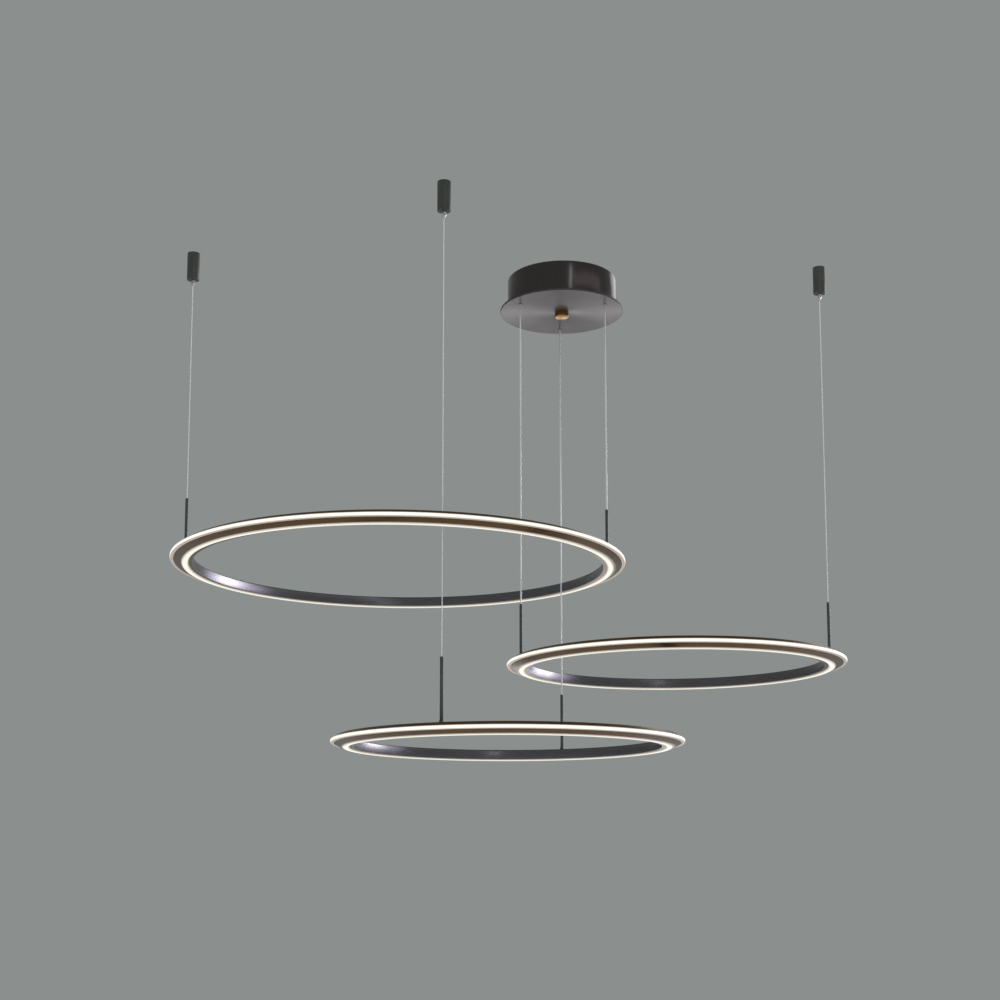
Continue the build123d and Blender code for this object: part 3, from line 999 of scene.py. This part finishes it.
@dataclass
class HoopAssembly(Assembly):
    """A sub-assembly that each hoop has.

    Args:
        place: where the hoop and its lines are.
    """

    place: HoopPlace

    def called(self, part: str) -> str:
        """A node's, body's or joint's name, from the hoop's and the part's."""
        return f"{self.place.name}_{part}"

    def own(self, finish: str) -> str:
        """The name of a finish that each hoop has its own of."""
        return f"{finish}_{self.place.name}"

    def shorten(self, made: Object, motion: str, anchor: Vector, length: float) -> None:
        """Gives a piece its own copy of its mesh; it doesn't make the piece shorten as a joint
        moves.

        Args:
            made: the piece.
            motion: the joint's name, without the hoop's; not used.
            anchor: the end that stays where it is; not used.
            length: from there to the end that moves; not used.
        """
        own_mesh(made)


@dataclass
class Canopy(Assembly):
    """The canopy: drum, plate, cap nut and what they hide. Sizes in metres.

    Args:
        drum_wall: thickness of the drum's wall.
        drum_corner: outside radius between rim and wall.
        drum_rim: width of the rim on the ceiling.
        plate_edge: rounding of the plate's rim.
        edge: rounding of thin edges.
        cap_chamfer: chamfer of the cap nut.
        cap_bore: radius and depth of its bore.
    """

    drum_wall: float = 0.0012
    drum_corner: float = 0.003
    drum_rim: float = 0.008
    plate_edge: float = 0.001
    edge: float = 0.0004
    cap_chamfer: float = 0.0012
    cap_bore: Span = (0.00505, 0.0075)

    def build(self) -> None:
        """Makes and dresses every piece of the canopy."""
        self.drum()
        self.plate()
        self.cap_nut()
        self.inside()

    def drum(self) -> None:
        """The spun drum with its rolled rim."""
        low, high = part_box("canopy_drum")
        outer, wall = (high.x - low.x) / 2, self.drum_wall
        corners = [
            (outer - self.drum_rim, 0.0), (outer, 0.0), (outer, low.z), (outer - wall, low.z),
            (outer - wall, -wall), (outer - self.drum_rim, -wall),
        ]
        rounds = {1: self.drum_corner, 4: self.drum_corner - wall, 2: self.edge, 3: self.edge}
        name = "canopy_drum_shell"
        made = Shaper.turned(name, corners, Turning.CANOPY, [Vector()], rounds)
        finish = UprightMetal("black_nickel_drum", *GUNMETAL, (0.15, 0.21), lines=420.0)
        self.fit(made, "ceiling_mount", "canopy_drum", "drum_gunmetal", finish)

    def plate(self) -> None:
        """The brushed bottom plate."""
        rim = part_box("canopy_plate")[1].x - self.plate_edge
        finish = BrushedMetal(
            "black_nickel_plate", *PLATE_METAL, (0.30, 0.38), lines=1500.0, streak=5.0,
            anisotropic=0.8, rim=rim,
        )
        self.dress(finish, "canopy_plate")

    def cap_nut(self) -> None:
        """The turned brass cap nut under the plate."""
        low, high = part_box("canopy_cap_nut")
        outer, (bore, depth) = (high.x - low.x) / 2, self.cap_bore
        corners = [
            (0.0, low.z), (outer - self.cap_chamfer, low.z), (outer, low.z + self.cap_chamfer),
            (outer, high.z), (bore, high.z), (bore, high.z - depth), (0.0, high.z - depth),
        ]
        rounds = dict.fromkeys((1, 2, 3), self.edge)
        made = Shaper.turned("cap_nut_turned", corners, Turning.CANOPY, [Vector()], rounds)
        finish = BrushedMetal("polished_brass", *BRASS, (0.16, 0.26), lines=5200.0, coat=0.15)
        self.fit(made, "cap_nut", "canopy_cap_nut", "brass_cap", finish)

    def inside(self) -> None:
        """What is inside the canopy."""
        self.dress(
            BrushedMetal("zinc_plate", *ZINC, lines=ZINC_LINES),
            "canopy_bracket", "canopy_stud", "canopy_stud_nuts", "gland_screws",
        )
        case = (0.74, 0.74, 0.72), (0.82, 0.82, 0.80), (0.42, 0.55)
        nylon = (0.68, 0.64, 0.54), (0.76, 0.73, 0.64), (0.35, 0.45)
        black = (0.012, 0.012, 0.012), (0.022, 0.022, 0.022), (0.4, 0.5)
        self.dress(Moulded("white_driver_case", *case), "driver_tray", "driver_lid")
        self.dress(Moulded("natural_nylon", *nylon), "terminal_block")
        self.dress(Moulded("black_nylon", *black), "cable_glands")


@dataclass
class Anchor(HoopAssembly):
    """One ceiling anchor: cup, gripper, release nose and what they hide. Sizes in metres.

    Args:
        cup_bore: inside radius of the cup.
        cup_hole: radius of the hole in its floor.
        floor: thickness of its floor.
        edges: rounding of its mouth, foot and hole.
        nose_bore: radius of the wire's way through the nose.
        nose_stem: radius of its stem.
        nose_tip: radius of its tip.
        nose_cone: height of the cone with its band, and of the band alone.
        nose_edges: rounding of the tip, and of the band.
        spring_wire: diameter of the spring's wire.
        spring_turns: turns of the spring.
        spring_gap: left between the spring and the roof that it bears on.
    """

    cup_bore: float = 0.00906
    cup_hole: float = 0.00405
    floor: float = 0.004
    edges: tuple[float, float, float] = (0.0005, 0.0008, 0.0003)
    nose_bore: float = 0.0011
    nose_stem: float = 0.00245
    nose_tip: float = 0.0018
    nose_cone: Span = (0.0041, 0.0006)
    nose_edges: Span = (0.0004, 0.0002)
    spring_wire: float = 0.0005
    spring_turns: int = 4
    spring_gap: float = 0.00015

    def build(self) -> None:
        """Makes and dresses every piece of the anchor."""
        centre = self.place.anchor
        black = Moulded(
            self.own("satin_black_cup"), (0.072, 0.074, 0.064), (0.094, 0.096, 0.084),
            (0.42, 0.50), grain=1500.0, metallic=0.6, relief=0.06,
        )
        nickel = BrushedMetal(
            self.own("satin_nickel"), (0.50, 0.50, 0.48), (0.70, 0.70, 0.68), (0.2, 0.3),
            centre, lines=6000.0,
        )
        steel = BrushedMetal(self.own("turned_steel"), *ZINC, centre, ZINC_LINES)
        self.cup(black)
        self.nose(nickel)
        self.spring(steel)
        self.dress(nickel, self.called("anchor_gripper"))
        self.dress(steel, self.called("anchor_base"))

    def cup(self, finish: Finish) -> None:
        """Makes the turned cup that hides the anchor's base.

        Args:
            finish: the cup's finish.
        """
        node = self.called("anchor_cup")
        low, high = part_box(node)
        outer, floor = (high.x - low.x) / 2, low.z + self.floor
        corners = [
            (self.cup_bore, high.z), (outer, high.z), (outer, low.z), (self.cup_hole, low.z),
            (self.cup_hole, floor), (self.cup_bore, floor),
        ]
        rounds = dict(enumerate(self.edges, start=1))
        places = [self.place.anchor]
        made = Shaper.turned(f"{node}_turned", corners, Turning.FITTING, places, rounds)
        self.fit(made, self.called("cup"), node, "anchor_black", finish)

    def nose(self, finish: Finish) -> None:
        """Makes the release nose with its rounded tip.

        Args:
            finish: the nose's finish.
        """
        node = self.called("anchor_nose")
        low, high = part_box(node)
        cone, (tall, band), (round_tip, round_band) = (
            (high.x - low.x) / 2, self.nose_cone, self.nose_edges
        )
        shoulder = low.z + tall
        corners = [
            (self.nose_bore, low.z), (self.nose_tip, low.z), (cone, shoulder - band),
            (cone, shoulder), (self.nose_stem, shoulder), (self.nose_stem, high.z),
            (self.nose_bore, high.z),
        ]
        rounds = {1: round_tip, 2: round_band, 3: round_band}
        places = [self.place.anchor]
        made = Shaper.turned(f"{node}_turned", corners, Turning.SMALL, places, rounds)
        self.fit(made, self.called("nose"), node, "gripper_nickel", finish)

    def spring(self, finish: Finish) -> None:
        """Makes the coil spring behind the nose; on the real anchor it shortens as the nose is
        pressed.

        Args:
            finish: the spring's finish.
        """
        node, centre = self.called("anchor_spring"), self.place.anchor
        low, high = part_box(node)
        wire = self.spring_wire / 2
        start = centre + Vector(((high.x - low.x) / 2 - wire, 0, low.z + wire))
        steps = self.spring_turns * Turning.SMALL.value
        rise = Vector((0, 0, (high.z - low.z - 2 * wire) / steps))
        bm = bmesh.new()
        bmesh.ops.create_circle(bm, cap_ends=False, segments=10, radius=wire)
        bmesh.ops.rotate(bm, verts=bm.verts[:], matrix=Matrix.Rotation(FULL_TURN / 4, 3, "X"))
        bmesh.ops.translate(bm, verts=bm.verts[:], vec=start)
        bmesh.ops.spin(
            bm, geom=bm.verts[:] + bm.edges[:], cent=centre, axis=UPWARDS,
            angle=self.spring_turns * FULL_TURN, steps=steps, dvec=rise, use_merge=False,
        )
        Shaper.close(bm)
        made = Shaper.piece(bm, f"{node}_coil", crease=60.0)
        self.fit(made, self.called("cup"), node, "spring_steel", finish)
        roof = centre + Vector((0, 0, high.z + self.spring_gap))
        self.shorten(made, "nose_press", roof, roof.z - low.z)


SEEN_CORNERS = (0, 1, 2, 3, 4, 10, 11, 12, 19)  # of the section's outline


@dataclass
class Hoop(HoopAssembly):
    """One glowing hoop with its diffusers and rods. Sizes in metres.

    An inset is measured inwards from the hoop's outside, and a level upwards from the hoop's
    lowest point.

    Args:
        width: width of the section.
        height: height of the section.
        wall: thickness of its walls and of a rod's top.
        chamfer: between the inner wall and the top.
        shoulder: inset of the top's outer edge.
        slot: levels of the side diffuser's lower and upper edge.
        upper_lip: insets of the lip above the side diffuser.
        lower_lip: insets of the lip below it.
        trough: inset and lowest level of the side trough's back.
        trough_roof: inset where its roof starts.
        mouth: insets of the bottom diffuser's two edges.
        crown: how far the bottom diffuser stands below the rims.
        flange: width and thickness of its flange.
        side_crown: how far the side diffuser's front bulges.
        side_depth: inset of its back.
        edge: rounding of the section's visible edges.
        glow: emission strength of the side strip and of the bottom strip.
        led_pitch: from one LED to the next.
        rod_inset: inset of a rod's axis.
        rod: radius of a rod.
        rod_bore: radius inside it.
        rod_mouth: radius of the hole in its top.
        rod_edges: rounding of its foot, top and mouth.
        foot: height of a rod's foot.
        foot_brim: radius and height of the foot's brim.
        foot_neck: radius of its neck.
        foot_tail: radius of its threaded tail.
        foot_spigot: radius and height of its spigot in the rod.
        foot_edge: rounding of its brim.
    """

    width: float = 0.0385
    height: float = 0.020
    wall: float = 0.0016
    chamfer: float = 0.0015
    shoulder: float = 0.0100
    slot: Span = (0.0080, 0.0144)
    upper_lip: Span = (0.0044, 0.0080)
    lower_lip: Span = (0.0058, 0.0094)
    trough: Span = (0.0158, 0.0052)
    trough_roof: float = 0.0120
    mouth: Span = (0.0196, 0.0322)
    crown: float = 0.0025
    flange: float = 0.0012
    side_crown: float = 0.0013
    side_depth: float = 0.0080
    edge: float = 0.0004
    glow: Span = (0.86, 0.72)
    led_pitch: float = 0.008
    rod_inset: float = 0.0255
    rod: float = 0.0028
    rod_bore: float = 0.00195
    rod_mouth: float = 0.00155
    rod_edges: tuple[float, float, float] = (0.0001, 0.0006, 0.0002)
    foot: float = 0.005
    foot_brim: Span = (0.0042, 0.0006)
    foot_neck: float = 0.0030
    foot_tail: float = 0.0020
    foot_spigot: Span = (0.0019, 0.006)
    foot_edge: float = 0.0002

    @property
    def outer(self) -> float:
        """The hoop's outside radius."""
        return self.place.attach_radius + self.rod_inset

    @property
    def base(self) -> float:
        """Height of the hoop's lowest point."""
        return self.place.top - self.height

    def build(self) -> None:
        """Makes and dresses every piece of the hoop."""
        self.section()
        self.side_diffuser()
        self.bottom_diffuser()
        self.rods()
        self.hidden()

    def section(self) -> None:
        """The bent section with softened edges."""
        node, (low, high), (outside, inside) = self.called("ring_frame"), self.slot, self.mouth
        back, floor = self.trough
        front, hidden = back + self.wall, self.width - self.wall
        roof, seat = self.height - self.wall, self.crown + self.wall
        insets = [
            (self.width, self.crown), (self.width, self.height - self.chamfer),
            (self.width - self.chamfer, self.height), (self.shoulder, self.height),
            (self.upper_lip[0], high), (self.upper_lip[1], high), (self.trough_roof, roof),
            (back, roof), (back, floor), (self.lower_lip[1], low), (self.lower_lip[0], low),
            (front, self.crown), (outside, self.crown), (outside, seat), (front, seat),
            (front, roof), (hidden, roof), (hidden, seat), (inside, seat), (inside, self.crown),
        ]
        corners = [(self.outer - inset, self.base + level) for inset, level in insets]
        rounds = dict.fromkeys(SEEN_CORNERS, self.edge)
        places = [self.place.axis]
        made = Shaper.turned(f"{node}_bent", corners, Turning.HOOP, places, rounds, crease=22.0)
        # the hoop's brown and gunmetal tones are partly painted reflection of warm and cool light
        finish = HoopBronzeWithPaintedReflection(
            self.own("bronze"), centre=self.place.axis,
            wall_radius=self.outer - self.width + self.edge / 2,
        )
        self.fit(made, self.called("hoop"), node, "hoop_bronze", finish)

    def side_diffuser(self) -> None:
        """The opal bead round the outside, with its rounded front."""
        low, high = (self.base + level for level in self.slot)
        front, back = self.outer - self.side_crown, self.outer - self.side_depth
        bm = bmesh.new()
        Shaper.bead(
            bm, (front, low), (front, high), self.side_crown, steps=10,
            back=[(back, high), (back, low)],
        )
        middle = self.place.axis + Vector((0, 0, (low + high) / 2))
        self.diffuser(bm, Strip.SIDE, middle, self.outer, (high - low) / 2, self.glow[0])

    def bottom_diffuser(self) -> None:
        """The opal bead round the underside, with its flange behind the lips."""
        outside, inside = (self.outer - inset for inset in self.mouth)
        rim, lip, flange = self.base + self.crown, self.base + self.crown + self.wall, self.flange
        back = [
            (outside, lip), (outside + flange, lip), (outside + flange, lip + flange),
            (inside - flange, lip + flange), (inside - flange, lip), (inside, lip),
        ]
        bm = bmesh.new()
        Shaper.bead(bm, (inside, rim), (outside, rim), self.crown, steps=12, back=back)
        radius, half = (inside + outside) / 2, (outside - inside) / 2
        self.diffuser(bm, Strip.BOTTOM, self.place.axis, radius, half, self.glow[1])

    def diffuser(
        self, bm: BMesh, strip: Strip, middle: Vector, radius: float, half: float, glow: float
    ) -> None:
        """Revolves a diffuser's outline and lights it.

        Args:
            bm: the mesh, holding the outline.
            strip: which strip it is.
            middle: a point on the hoop's axis, at the height of the strip's middle.
            radius: distance from the axis to the strip's middle.
            half: half of the strip's width between its lips.
            glow: emission strength.
        """
        Shaper.revolve(bm, Turning.HOOP, [self.place.axis])
        node, slot = self.called(f"ring_{strip.value}_diffuser"), f"opal_{strip.value}"
        leds = round(FULL_TURN * self.outer / self.led_pitch)
        upright = strip is Strip.SIDE
        finish = Opal(self.own(slot), middle, radius, half, upright, leds, glow)
        self.fit(Shaper.piece(bm, f"{node}_bead"), self.called("hoop"), node, slot, finish)

    def rods(self) -> None:
        """The two rods and their feet."""
        finish = Moulded(
            self.own("satin_nickel_rod"), (0.138, 0.134, 0.136), (0.172, 0.167, 0.169),
            (0.50, 0.60), grain=700.0, metallic=1.0, relief=0.02,
        )
        rods, feet, top = self.called("ring_rods"), self.called("ring_rod_feet"), self.place.top
        low, high, tail = top + self.foot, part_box(rods)[1].z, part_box(feet)[0].z
        (brim, brim_height), (spigot, spigot_height) = self.foot_brim, self.foot_spigot
        rod = [
            (self.rod_bore, low), (self.rod, low), (self.rod, high), (self.rod_mouth, high),
            (self.rod_mouth, high - self.wall), (self.rod_bore, high - self.wall),
        ]
        foot = [
            (0.0, tail), (self.foot_tail, tail), (self.foot_tail, top), (brim, top),
            (brim, top + brim_height), (self.foot_neck, low), (self.rod, low), (spigot, low),
            (spigot, low + spigot_height), (0.0, low + spigot_height),
        ]
        rod_rounds = dict(enumerate(self.rod_edges, start=1))
        foot_rounds = dict.fromkeys((3, 4), self.foot_edge)
        for node, corners, rounds in ((rods, rod, rod_rounds), (feet, foot, foot_rounds)):
            ends = self.place.ends
            made = Shaper.turned(f"{node}_turned", corners, Turning.SMALL, ends, rounds)
            self.fit(made, self.called("hoop"), node, "rod_gunmetal", finish)

    def hidden(self) -> None:
        """What is hidden in the section and the rods."""
        axis = self.place.axis
        tape = (0.80, 0.79, 0.75), (0.86, 0.85, 0.81), (0.4, 0.5)
        nuts = BrushedMetal(self.own("zinc_nuts"), *ZINC, axis, ZINC_LINES)
        balls = BrushedMetal(self.own("turned_brass"), *BRASS, (0.25, 0.35), axis)
        self.dress(nuts, self.called("ring_rod_nuts"))
        self.dress(balls, self.called("ring_wire_ends"))
        tapes = (self.called(f"ring_{strip.value}_tape") for strip in Strip)
        self.dress(Moulded(self.own("white_tape"), *tape, grain=400.0), *tapes)


@dataclass
class Lines(HoopAssembly):
    """The power cable and the steel wire of one hoop, both hanging taut. Sizes in metres.

    Args:
        cable: diameter of the power cable.
        wire: diameter of the steel wire.
        lay: length of one turn of the wire's strands.
        valley: radius between two strands, as a share of the wire's radius.
        per_turn: steps in one turn of the strands.
    """

    cable: float = 0.0026
    wire: float = 0.0015
    lay: float = 0.0125
    valley: float = 0.80
    per_turn: int = 10

    def build(self) -> None:
        """Makes the cable and the wire."""
        self.power_cable()
        self.steel_wire()

    def path(self, node: str, end: End) -> list[Vector]:
        """Draws a line as one smooth spline and reads the points that lie along it.

        Args:
            node: the line's node.
            end: the end of the hoop that it carries.
        Returns:
            The points, from the top down.
        """
        (low, high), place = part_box(node), self.place.above(end.value)
        levels = (high.z, (low.z + high.z) / 2, low.z)
        data = bpy.data.curves.new(f"{node}_route", "CURVE")
        data.dimensions = "3D"
        spline = data.splines.new("NURBS")
        spline.points.add(len(levels) - 1)
        for point, level in zip(spline.points, levels):
            point.co = (place.x, place.y, level, 1.0)
        spline.order_u = 3
        spline.use_endpoint_u = True
        spline.resolution_u = 4
        holder = bpy.data.objects.new(data.name, data)
        bpy.context.scene.collection.objects.link(holder)
        graph = bpy.context.evaluated_depsgraph_get()
        mesh = bpy.data.meshes.new_from_object(holder.evaluated_get(graph))
        found = [vert.co.copy() for vert in mesh.vertices]
        bpy.data.objects.remove(holder)
        bpy.data.meshes.remove(mesh)
        return found

    def sweep(self, section: BMesh, path: list[Vector], turns_per_metre: float) -> None:
        """Carries a closed outline along a path, turning it as it goes, and closes its ends.

        Args:
            section: a mesh that holds only the outline, about the origin.
            path: the points to follow.
            turns_per_metre: how fast the outline turns.
        """
        bmesh.ops.translate(section, verts=section.verts[:], vec=path[0])
        ring = section.verts[:] + section.edges[:]
        for start, end in zip(path, path[1:]):
            run = end - start
            turns = run.length * turns_per_metre
            steps = max(1, round(turns * self.per_turn))
            ring = bmesh.ops.spin(
                section, geom=ring, cent=start, axis=run.normalized(),
                angle=turns * FULL_TURN, steps=steps, dvec=run / steps, use_merge=False,
            )["geom_last"]
        Shaper.close(section)

    def declare(
        self, made: Object, path: list[Vector], diameter: float, stiffness: str
    ) -> None:
        """Gives a taut line's mesh its own copy; it doesn't declare the line or let it shorten as
        the hoop is raised.

        Args:
            made: the line's mesh.
            path: the points that it follows.
            diameter: its diameter; not used.
            stiffness: how stiff it is; not used.
        """
        length = (path[-1] - path[0]).length
        self.shorten(made, "height", path[0], length)

    def power_cable(self) -> None:
        """The clear power cable from the canopy."""
        node = self.called("ring_power_cable")
        path = self.path(node, End.CANOPY)
        bm = bmesh.new()
        bmesh.ops.create_circle(bm, cap_ends=False, segments=20, radius=self.cable / 2)
        self.sweep(bm, path, 0.0)
        made = Shaper.piece(bm, f"{node}_sheath")
        finish = ClearCable(self.own("clear_cable"), path[0])
        self.fit(made, self.called("lines"), node, "clear_cable", finish)
        self.declare(made, path, self.cable, "medium")

    def steel_wire(self) -> None:
        """The laid steel wire from the ceiling anchor, with six strands round a core."""
        node = self.called("ring_steel_wire")
        path = self.path(node, End.ANCHOR)
        bm = bmesh.new()
        strands, steps = 6, 4
        bmesh.ops.create_circle(
            bm, cap_ends=False, segments=strands * steps, radius=self.wire / 2
        )
        between = [vert for i, vert in enumerate(bm.verts) if i % steps == steps // 2]
        bmesh.ops.scale(bm, vec=(self.valley, self.valley, 1.0), verts=between)
        self.sweep(bm, path, 1.0 / self.lay)
        made = Shaper.piece(bm, f"{node}_rope", crease=60.0)
        finish = LaidSteel(self.own("laid_steel"), path[0])
        self.fit(made, self.called("lines"), node, "steel_wire", finish)
        self.declare(made, path, self.wire, "stiff")


# ------------------------------------------------------------------ studio
@dataclass(frozen=True)
class Softbox:
    """One rectangular lamp, which lights the scene but isn't seen itself.

    Args:
        name: its name.
        place: where it stands.
        aim: the point that it faces.
        size: its width and height.
        power: its power in watts.
        tint: its colour.
        lean: how far it is turned about its own axis, in degrees.
        shows: how it shows.
    """

    name: str
    place: Place
    aim: Place
    size: Span
    power: float
    tint: Color = (1.0, 1.0, 1.0)
    lean: float = 0.0
    shows: Shows = Shows.FULLY

    def hang(self) -> None:
        """Makes the lamp and turns it to its aim."""
        data = bpy.data.lights.new(self.name, "AREA")
        data.shape, data.size, data.size_y = "RECTANGLE", *self.size
        data.energy, data.color = self.power, self.tint
        made = bpy.data.objects.new(self.name, data)
        bpy.context.scene.collection.objects.link(made)
        facing = (Vector(self.aim) - Vector(self.place)).to_track_quat("-Z", "Y")
        lean = Matrix.Rotation(math.radians(self.lean), 4, "Z")
        made.matrix_world = Matrix.Translation(self.place) @ facing.to_matrix().to_4x4() @ lean
        made.visible_camera = False
        made.visible_diffuse = self.shows is not Shows.SHEEN
        made.visible_glossy = self.shows is not Shows.SOFTLY


MIDDLE = (-0.1, -0.1, -0.5)
CANOPY_FOOT = (0.0, 0.0, -0.04)
SOFTBOXES = (
    Softbox(
        "key", (-2.3, -2.4, 4.4), MIDDLE, (2.2, 1.8), 95.0, (1.0, 0.99, 0.97), shows=Shows.SOFTLY
    ),
    Softbox("wall_glow", (2.75, 2.05, 0.1), MIDDLE, (1.6, 1.1), 40.0, (1.0, 0.99, 1.0)),
    Softbox(
        "wall_lavender", (3.5, 2.1, 0.1), MIDDLE, (4.6, 1.2), 46.0, (0.82, 0.80, 1.0),
        shows=Shows.SHEEN,
    ),
    Softbox(
        "drum_line", (1.24, -4.08, 1.59), CANOPY_FOOT, (0.15, 1.85), 4.6, (0.82, 1.0, 1.0), -5.0
    ),
    Softbox("wall_line", (0.788, -4.954, -0.35), MIDDLE, (0.20, 0.86), 3.4, (0.93, 1.0, 1.0)),
    Softbox("drum_edge", (1.75, 3.0, 1.35), CANOPY_FOOT, (2.6, 1.0), 8.0, (0.95, 0.93, 1.0)),
    Softbox(
        "drum_side", (2.7, -1.9, 1.2), CANOPY_FOOT, (4.0, 0.8), 3.4, (1.0, 0.95, 0.97),
        shows=Shows.SHEEN,
    ),
    Softbox("plate_sheen", (0.1, 3.3, -1.26), CANOPY_FOOT, (1.4, 0.5), 2.9, shows=Shows.SHEEN),
)


@dataclass
class Studio:
    """Camera, backdrop, floor and lamps. Lengths in metres, angles in degrees.

    Args:
        effects: the shared shader groups.
        eye: the camera's place.
        pitch: how far the camera looks up.
        focal_px: focal length in pixels of the image.
        horizon_shift: how far the view is moved up, as a share of the image.
        backdrop: the wall's colour.
        soft_light: colour of the light from all round.
        soft_strength: its strength.
        floor_drop: from the ceiling to the floor.
        floor_size: side of the floor.
    """

    effects: Effects
    eye: Place = (-0.1157, -2.7739, -1.1062)
    pitch: float = 7.556
    focal_px: float = 1538.6
    horizon_shift: float = 0.17
    backdrop: Color = (0.258, 0.275, 0.270)
    soft_light: Color = (0.92, 0.94, 1.0)
    soft_strength: float = 0.55
    floor_drop: float = 2.4
    floor_size: float = 14.0

    def camera(self) -> None:
        """The camera at the photograph's angle."""
        data = bpy.data.cameras.new("camera")
        data.sensor_width = 36.0
        data.lens = data.sensor_width * self.focal_px / IMAGE_WIDTH
        data.shift_y = self.horizon_shift
        data.clip_end = 60.0
        made = bpy.data.objects.new("camera", data)
        bpy.context.scene.collection.objects.link(made)
        made.location = self.eye
        made.rotation_euler = (math.radians(90.0 + self.pitch), 0.0, 0.0)
        bpy.context.scene.camera = made

    def build(self) -> None:
        """Makes the backdrop, the floor and the lamps."""
        self.world()
        self.floor()
        for softbox in SOFTBOXES:
            softbox.hang()

    def world(self) -> None:
        """A grey backdrop for what the camera sees, and soft light for what it lights."""
        made = bpy.data.worlds.new("studio_world")
        made.use_nodes = True
        s = Sheet(made.node_tree)
        seen = s.node("Background", self.backdrop, 1.0).outputs[0]
        lit = s.node("Background", self.soft_light, self.soft_strength).outputs[0]
        rays = s.node("LightPath").outputs
        mirrored = s.math("MAXIMUM", rays["Is Glossy Ray"], rays["Is Transmission Ray"])
        shown = s.math("MAXIMUM", rays["Is Camera Ray"], mirrored)
        s.node("OutputWorld", s.node("MixShader", shown, lit, seen).outputs[0])
        bpy.context.scene.world = made

    def floor(self) -> None:
        """The plain pale floor."""
        bm = bmesh.new()
        bmesh.ops.create_grid(bm, x_segments=1, y_segments=1, size=self.floor_size / 2)
        bmesh.ops.translate(bm, verts=bm.verts[:], vec=(0, 0, -self.floor_drop))
        made = Shaper.piece(bm, "studio_floor")
        made.data.materials.append(PlainFloor("studio_floor").material(self.effects))


def main() -> None:
    """Builds the chandelier and its studio, and reports each piece."""
    logging.basicConfig(level=logging.INFO, format="%(name)s: %(message)s")
    bpy.context.scene.view_settings.view_transform = "Standard"
    effects = Effects()
    studio = Studio(effects)
    studio.camera()
    for place in PLACES:
        Lines(effects, place).build()
    for place in PLACES:
        Hoop(effects, place).build()
        Anchor(effects, place).build()
    Canopy(effects).build()
    studio.build()


if __name__ == "__main__":
    main()
